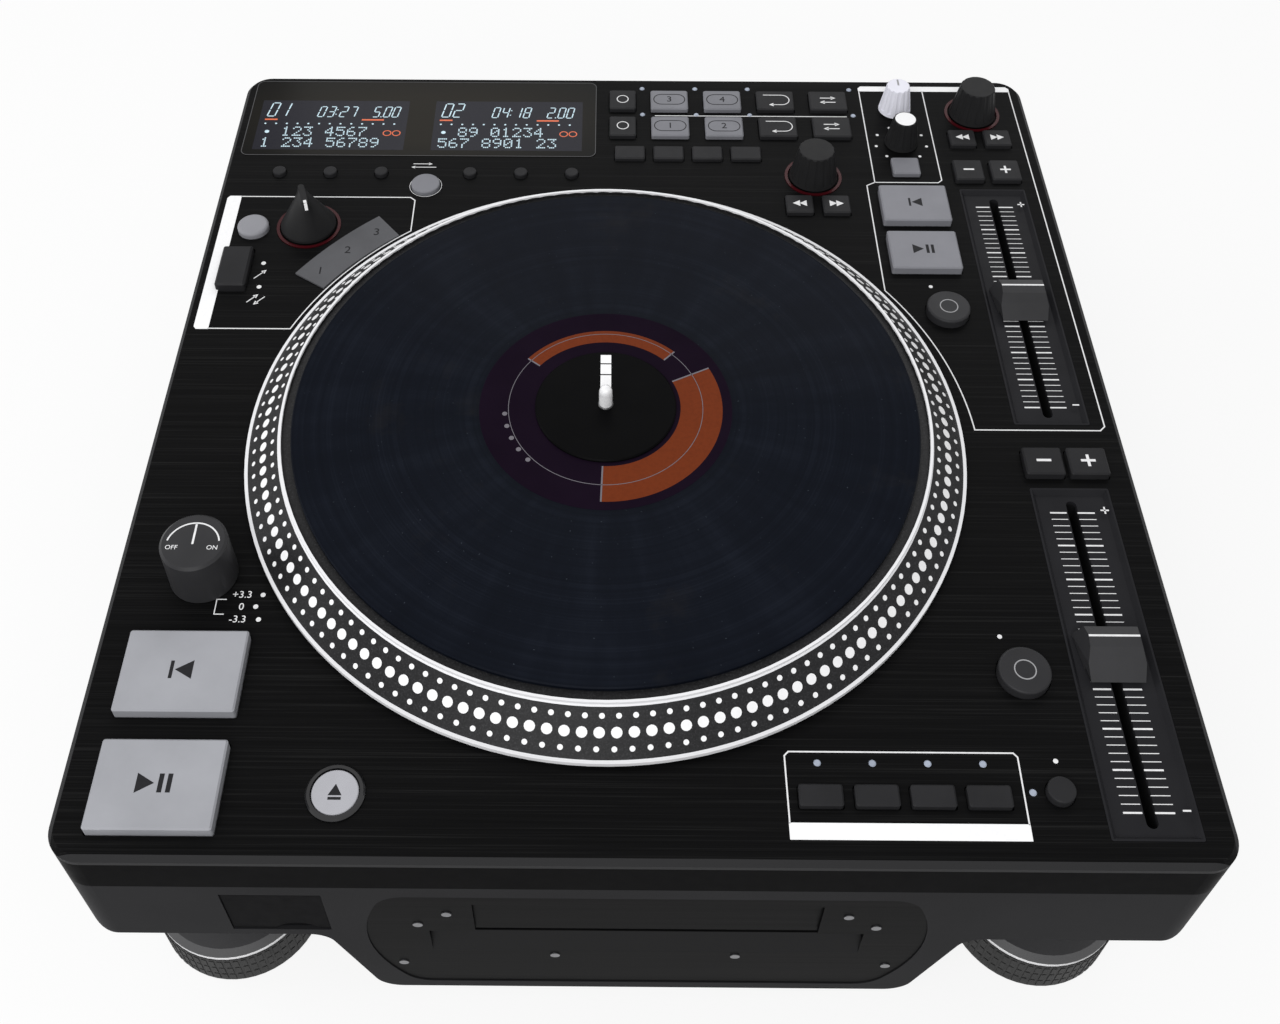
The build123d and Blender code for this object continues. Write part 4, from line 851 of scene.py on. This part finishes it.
for side, x in zip(("left", "right"), readouts):
    grow("displayDots_" + side, "chassis", cyanGlow, "readout", scatterStuds,
         {"Radius": row["radius"] * mm, "Height": row["height"] * mm, "Sides": 10},
         [(x + row["along"] + row["step"] * i, row["y"], glassTop + 0.02) for i in range(row["count"])])
print("display drawn")


# Key icons

triangle = [(-0.5, -0.58), (0.5, 0.0), (-0.5, 0.58)]
iconLine = 0.35


def cueIcon(x, y, size):
    return [prism(polygon(triangle, x + size * 0.15, y, size, 180)),
            prism(bar(x - size * 0.55, y, size * 0.2, size * 1.1))]


def playIcon(x, y, size):
    return [prism(polygon(triangle, x - size * 0.62, y, size * 1.05))] + [
        prism(bar(x + size * side, y, size * 0.28, size * 1.15)) for side in (0.28, 0.78)]


def ejectIcon(x, y, size):
    return [prism(polygon(triangle, x, y + size * 0.22, size, 90)),
            prism(bar(x, y - size * 0.55, size * 1.1, size * 0.24))]


def minusIcon(x, y, size):
    return [prism(bar(x, y, size, size * 0.2))]


def plusIcon(x, y, size):
    h, w = size / 2, size * 0.1
    return [prism([(x - w, y - h), (x + w, y - h), (x + w, y - w), (x + h, y - w), (x + h, y + w),
                   (x + w, y + w), (x + w, y + h), (x - w, y + h), (x - w, y + w), (x - h, y + w),
                   (x - h, y - w), (x - w, y - w)])]


def seekIcons(y, *keys):
    # Two triangles in a row on each key, pointing the way that the key searches
    return [prism(polygon(triangle, x + 2.7 * shift, y, 2.7, turn)) for x, turn in keys
            for shift in (-0.46, 0.46)]


def numberedLoop(numeral, x, y):
    path = arc(x + 3.1, y, 3.1, -90, 90, 10) + arc(x - 3.1, y, 3.1, 90, 270, 10)
    return [strip(path, iconLine, closed=True), sign(numeral, x, y, 4.6)]


def openLoop(x, y):
    path = [(x - 4.6, y + 3.0)] + arc(x + 2.6, y, 3.0, 90, -90, 10) + [(x - 1.2, y - 3.0)]
    return [strip(path, iconLine), prism(polygon(arrowHead, x - 1.6, y - 3.0, 1.6, 180))]


def swapArrows(x, y):
    return arrow(x, y + 1.3, 6.0, 0, 0.45, 1.7) + arrow(x, y - 1.3, 6.0, 180, 0.45, 1.7)


def ringIcon(x, y, radius):
    return [strip(circle(x, y, radius, 28), iconLine, closed=True)]


rearRow, frontRow = 147.0, 130.7
keyPrints = {
    "cue_key": (102.5, darkInk, cueIcon(-129.0, -109.4, 5.0)),
    "play_key": (102.5, darkInk, playIcon(-129.0, -143.0, 4.6)),
    "second_cue_key": (102.0, darkInk, cueIcon(103.8, 86.2, 3.8)),
    "second_play_key": (102.0, darkInk, playIcon(103.8, 61.5, 3.7)),
    "eject_button": (99.8, darkInk, ejectIcon(-81.7, -143.9, 3.2)),
    "sample_pads": (100.8, darkInk, numberedLoop("3", 14.2, rearRow) + numberedLoop("4", 35.3, rearRow)
                    + numberedLoop("1", 14.2, frontRow) + numberedLoop("2", 35.3, frontRow)),
    "loop_keys": (100.8, whiteInk, openLoop(56.4, rearRow) + openLoop(56.4, frontRow)
                  + swapArrows(77.4, rearRow) + swapArrows(77.4, frontRow)
                  + ringIcon(-4.4, rearRow, 2.2) + ringIcon(-4.4, frontRow, 2.2)),
    "bend_minus_key": (101.6, whiteInk, minusIcon(128.0, -33.0, 4.6)),
    "bend_plus_key": (101.6, whiteInk, plusIcon(142.0, -33.0, 4.6)),
    "second_bend_minus_key": (101.0, whiteInk, minusIcon(127.0, 105.8, 4.0)),
    "second_bend_plus_key": (101.0, whiteInk, plusIcon(140.9, 105.8, 4.0)),
    "search_keys": (100.8, whiteInk, seekIcons(86.5, (61.2, 180), (74.9, 0))),
    "second_search_keys": (100.8, whiteInk, seekIcons(124.9, (127.6, 180), (141.2, 0))),
    "tap_button": (102.0, greyInk, ringIcon(108.1, -107.2, 3.0)),
    "second_tap_button": (102.0, greyInk, ringIcon(108.2, 33.3, 3.0)),
}
for key, (top, ink, strokes) in keyPrints.items():
    printOn(key + "Icon", key, *ink, top, strokes, 0.04)
print("keys marked:", len(keyPrints))


# Knobs: pointer lines, scale and cap disc

platterKnob = {"x": -129.4, "y": -76.0, "top": 116.6, "scaleRadius": 7.7}
x, y = platterKnob["x"], platterKnob["y"]
printOn("platterKnobScale", "platter_knob", *whiteInk, platterKnob["top"], [
    strip(arc(x, y - 1.4, platterKnob["scaleRadius"], 168, 12, 30), 0.45),
    strip([(x, y - 1.0), (x, y + 5.9)], 0.6),
    sign("OFF", x - 5.9, y - 2.2, 2.1), sign("ON", x + 5.9, y - 2.2, 2.1)])
printOn("mixKnobDisc", "mix_knob", *boldWhite, mixKnob["top"],
        [prism(circle(mixKnob["x"], mixKnob["y"], mixKnob["disc"], 36))])
effectKnob = {"x": 103.7, "y": 145.3, "top": 111.2, "line": (0.7, 3.6)}
printOn("effectKnobLine", "effect_knob", *greyInk, effectKnob["top"],
        [prism(bar(effectKnob["x"], effectKnob["y"], *effectKnob["line"]))])

selector = {"x": -119.7, "y": 74.4, "turn": 18.0, "base": (10.0, 100.6), "tip": (5.3, 115.0),
            "line": (1.1, 2.8), "ridge": (-0.55, -5.1, 0.55, -3.6)}
(baseOut, baseHeight), (tipOut, tipHeight) = selector["base"], selector["tip"]
lean = math.atan2(baseOut - tipOut, tipHeight - baseHeight)
width, length = selector["line"]
pointerPlace = (Matrix.Translation((selector["x"], selector["y"], 0))
                @ Matrix.Rotation(math.radians(selector["turn"]), 4, "Z")
                @ Matrix.Translation((0, -tipOut, tipHeight))
                @ Matrix.Rotation(math.pi / 2 - lean, 4, "X"))
makePiece("selectorPointer", "mode_selector_knob", *boldWhite,
          [prism(rectangle(-width / 2, -length, width / 2, 0.0))], -0.05, 0.07, pointerPlace)
printOn("selectorRidge", "mode_selector_knob", *whiteInk, tipHeight, [
    prism(polygon(rectangle(*selector["ridge"]), selector["x"], selector["y"], 1, selector["turn"]))])

lens = {"height": 99.6, "radius": 125.3, "size": 5.0, "turns": {"1": 144.4, "2": 138.2, "3": 132.1}}
printOn("lensNumbers", "chassis", *darkInk, lens["height"],
        [sign(numeral, *spotFrom(cx, cy, lens["radius"], turn), lens["size"])
         for numeral, turn in lens["turns"].items()])
print("knobs marked")


# Feet: ribbed treads

tread = {"radius": 25.4, "ribs": 66, "rows": 3, "first": 3.6, "step": 4.9, "rib": (0.5, 1.5, 3.9),
         "places": [(x, y, 0) for y in (-133.0, 133.0) for x in (-124.5, 124.5)]}
grow("treadRibs", "chassis", rubberFinish("ribRubber"), "rubber", ribRing, {
    "Ribs": tread["ribs"], "Rows": tread["rows"], "Drum Radius": tread["radius"] * mm,
    "First Height": tread["first"] * mm, "Row Step": tread["step"] * mm,
    "Rib": tuple(v * mm for v in tread["rib"])}, tread["places"])


# Fascia: crossed screw slots

screws = {"front": -162.2, "middle": 2, "slot": (0.6, 0.25), "depths": (-0.02, 0.06), "turns": (25, 115),
          "places": ((55.3, 64.3), (63.8, 56.8), (70.3, 28.0), (26.0, 34.5))}
frontPlace = Matrix.Translation((0, screws["front"], 0)) @ Matrix.Rotation(math.pi / 2, 4, "X")
half, width = screws["slot"]
makePiece("fasciaScrewMarks", "chassis", turnedMetal("brightSteel", (0.42, 0.42, 0.43), 0.3), "steel",
          [strip([spotFrom(screws["middle"] + way * x, z, d, turn) for d in (-half, half)], width)
           for x, z in screws["places"] for way in (-1, 1) for turn in screws["turns"]],
          *screws["depths"], frontPlace)
print("feet and fascia detailed")


# Studio: floor, world, lamps and camera

def seenRay(tree):
    # 1 for the rays that show a surface straight, in a reflection or through glass
    ray = addNode(tree, "ShaderNodeLightPath").outputs
    return calc(tree, "MAXIMUM", calc(tree, "MAXIMUM", ray["Is Camera Ray"], ray["Is Glossy Ray"]),
                ray["Is Transmission Ray"])


def blendOut(tree, kind, amount, first, second):
    mix = addNode(tree, "ShaderNodeMixShader", {0: amount, 1: first.outputs[0], 2: second.outputs[0]})
    addNode(tree, kind, {0: mix.outputs[0]})


def makeFloor():
    look = {"half": 6.0, "steps": 2, "matt": (0.82, 0.82, 0.82, 1), "glow": (1, 1, 1, 1), "share": 0.84}
    shape = bmesh.new()
    bmesh.ops.create_grid(shape, x_segments=look["steps"], y_segments=look["steps"], size=look["half"])
    mesh = bpy.data.meshes.new("studioFloor")
    shape.to_mesh(mesh)
    shape.free()
    finish = bpy.data.materials.new("studioFloor")
    finish.use_nodes = True
    tree = finish.node_tree
    tree.nodes.clear()
    matt = addNode(tree, "ShaderNodeBsdfDiffuse", {"Color": look["matt"]})
    glow = addNode(tree, "ShaderNodeEmission", {"Color": look["glow"], "Strength": 1.0})
    share = calc(tree, "MULTIPLY", seenRay(tree), look["share"])
    blendOut(tree, "ShaderNodeOutputMaterial", share, matt, glow)
    mesh.materials.append(finish)
    floor = addObject("studioFloor", mesh)


def makeWorld():
    light = {"seen": 1.0, "given": 0.55, "colour": (1, 1, 1, 1)}
    world = bpy.data.worlds.new("studioWorld")
    scene.world = world
    world.use_nodes = True
    tree = world.node_tree
    tree.nodes.clear()
    sky, wall = (addNode(tree, "ShaderNodeBackground", {"Color": light["colour"], "Strength": light[key]})
                 for key in ("given", "seen"))
    blendOut(tree, "ShaderNodeOutputWorld", seenRay(tree), sky, wall)


def makeLamp(name, place, aim, width, depth, power):
    light = bpy.data.lights.new(name, "AREA")
    light.shape = "RECTANGLE"
    light.size, light.size_y, light.energy = width, depth, power
    lamp = addObject(name, light)
    lamp.location = place
    lamp.rotation_euler = (Vector(aim) - Vector(place)).to_track_quat("-Z", "Y").to_euler()


makeFloor()
makeWorld()
lamps = {"frontBox": ((-0.25, -0.85, 1.0), (0, -0.12, 0.08), 0.9, 0.7, 9.5),
         "rearBox": ((0.15, 1.15, 1.05), (0, 0.0, 0.1), 1.2, 0.4, 4.0),
         "sideBox": ((-1.2, 0.1, 0.7), (0, 0, 0.08), 0.6, 0.8, 3.5)}
for lampName, lampRow in lamps.items():
    makeLamp(lampName, *lampRow)

shot = {"place": (-0.01039, -0.31891, 0.47442), "frameWidth": 1280, "frameHeight": 1024, "focal": 1480.16,
        "middle": (601.01, 312.0), "sensor": 36.0, "right": (0.999973, 0.007148, 0.001788),
        "up": (-0.006442, 0.730375, 0.683017), "back": (0.003576, -0.683009, 0.730401)}
cameraData = bpy.data.cameras.new("shotCamera")
cameraData.sensor_fit = "HORIZONTAL"
cameraData.sensor_width = shot["sensor"]
cameraData.lens = shot["focal"] / shot["frameWidth"] * shot["sensor"]
cameraData.shift_x = (shot["frameWidth"] / 2 - shot["middle"][0]) / shot["frameWidth"]
cameraData.shift_y = (shot["middle"][1] - shot["frameHeight"] / 2) / shot["frameWidth"]
cameraData.clip_start = 0.01
camera = addObject("shotCamera", cameraData)
camera.matrix_world = Matrix.Translation(shot["place"]) @ Matrix((shot["right"], shot["up"],
                                                                    shot["back"])).transposed().to_4x4()
scene.camera = camera
scene.view_settings.view_transform = "Standard"
print("studio ready")
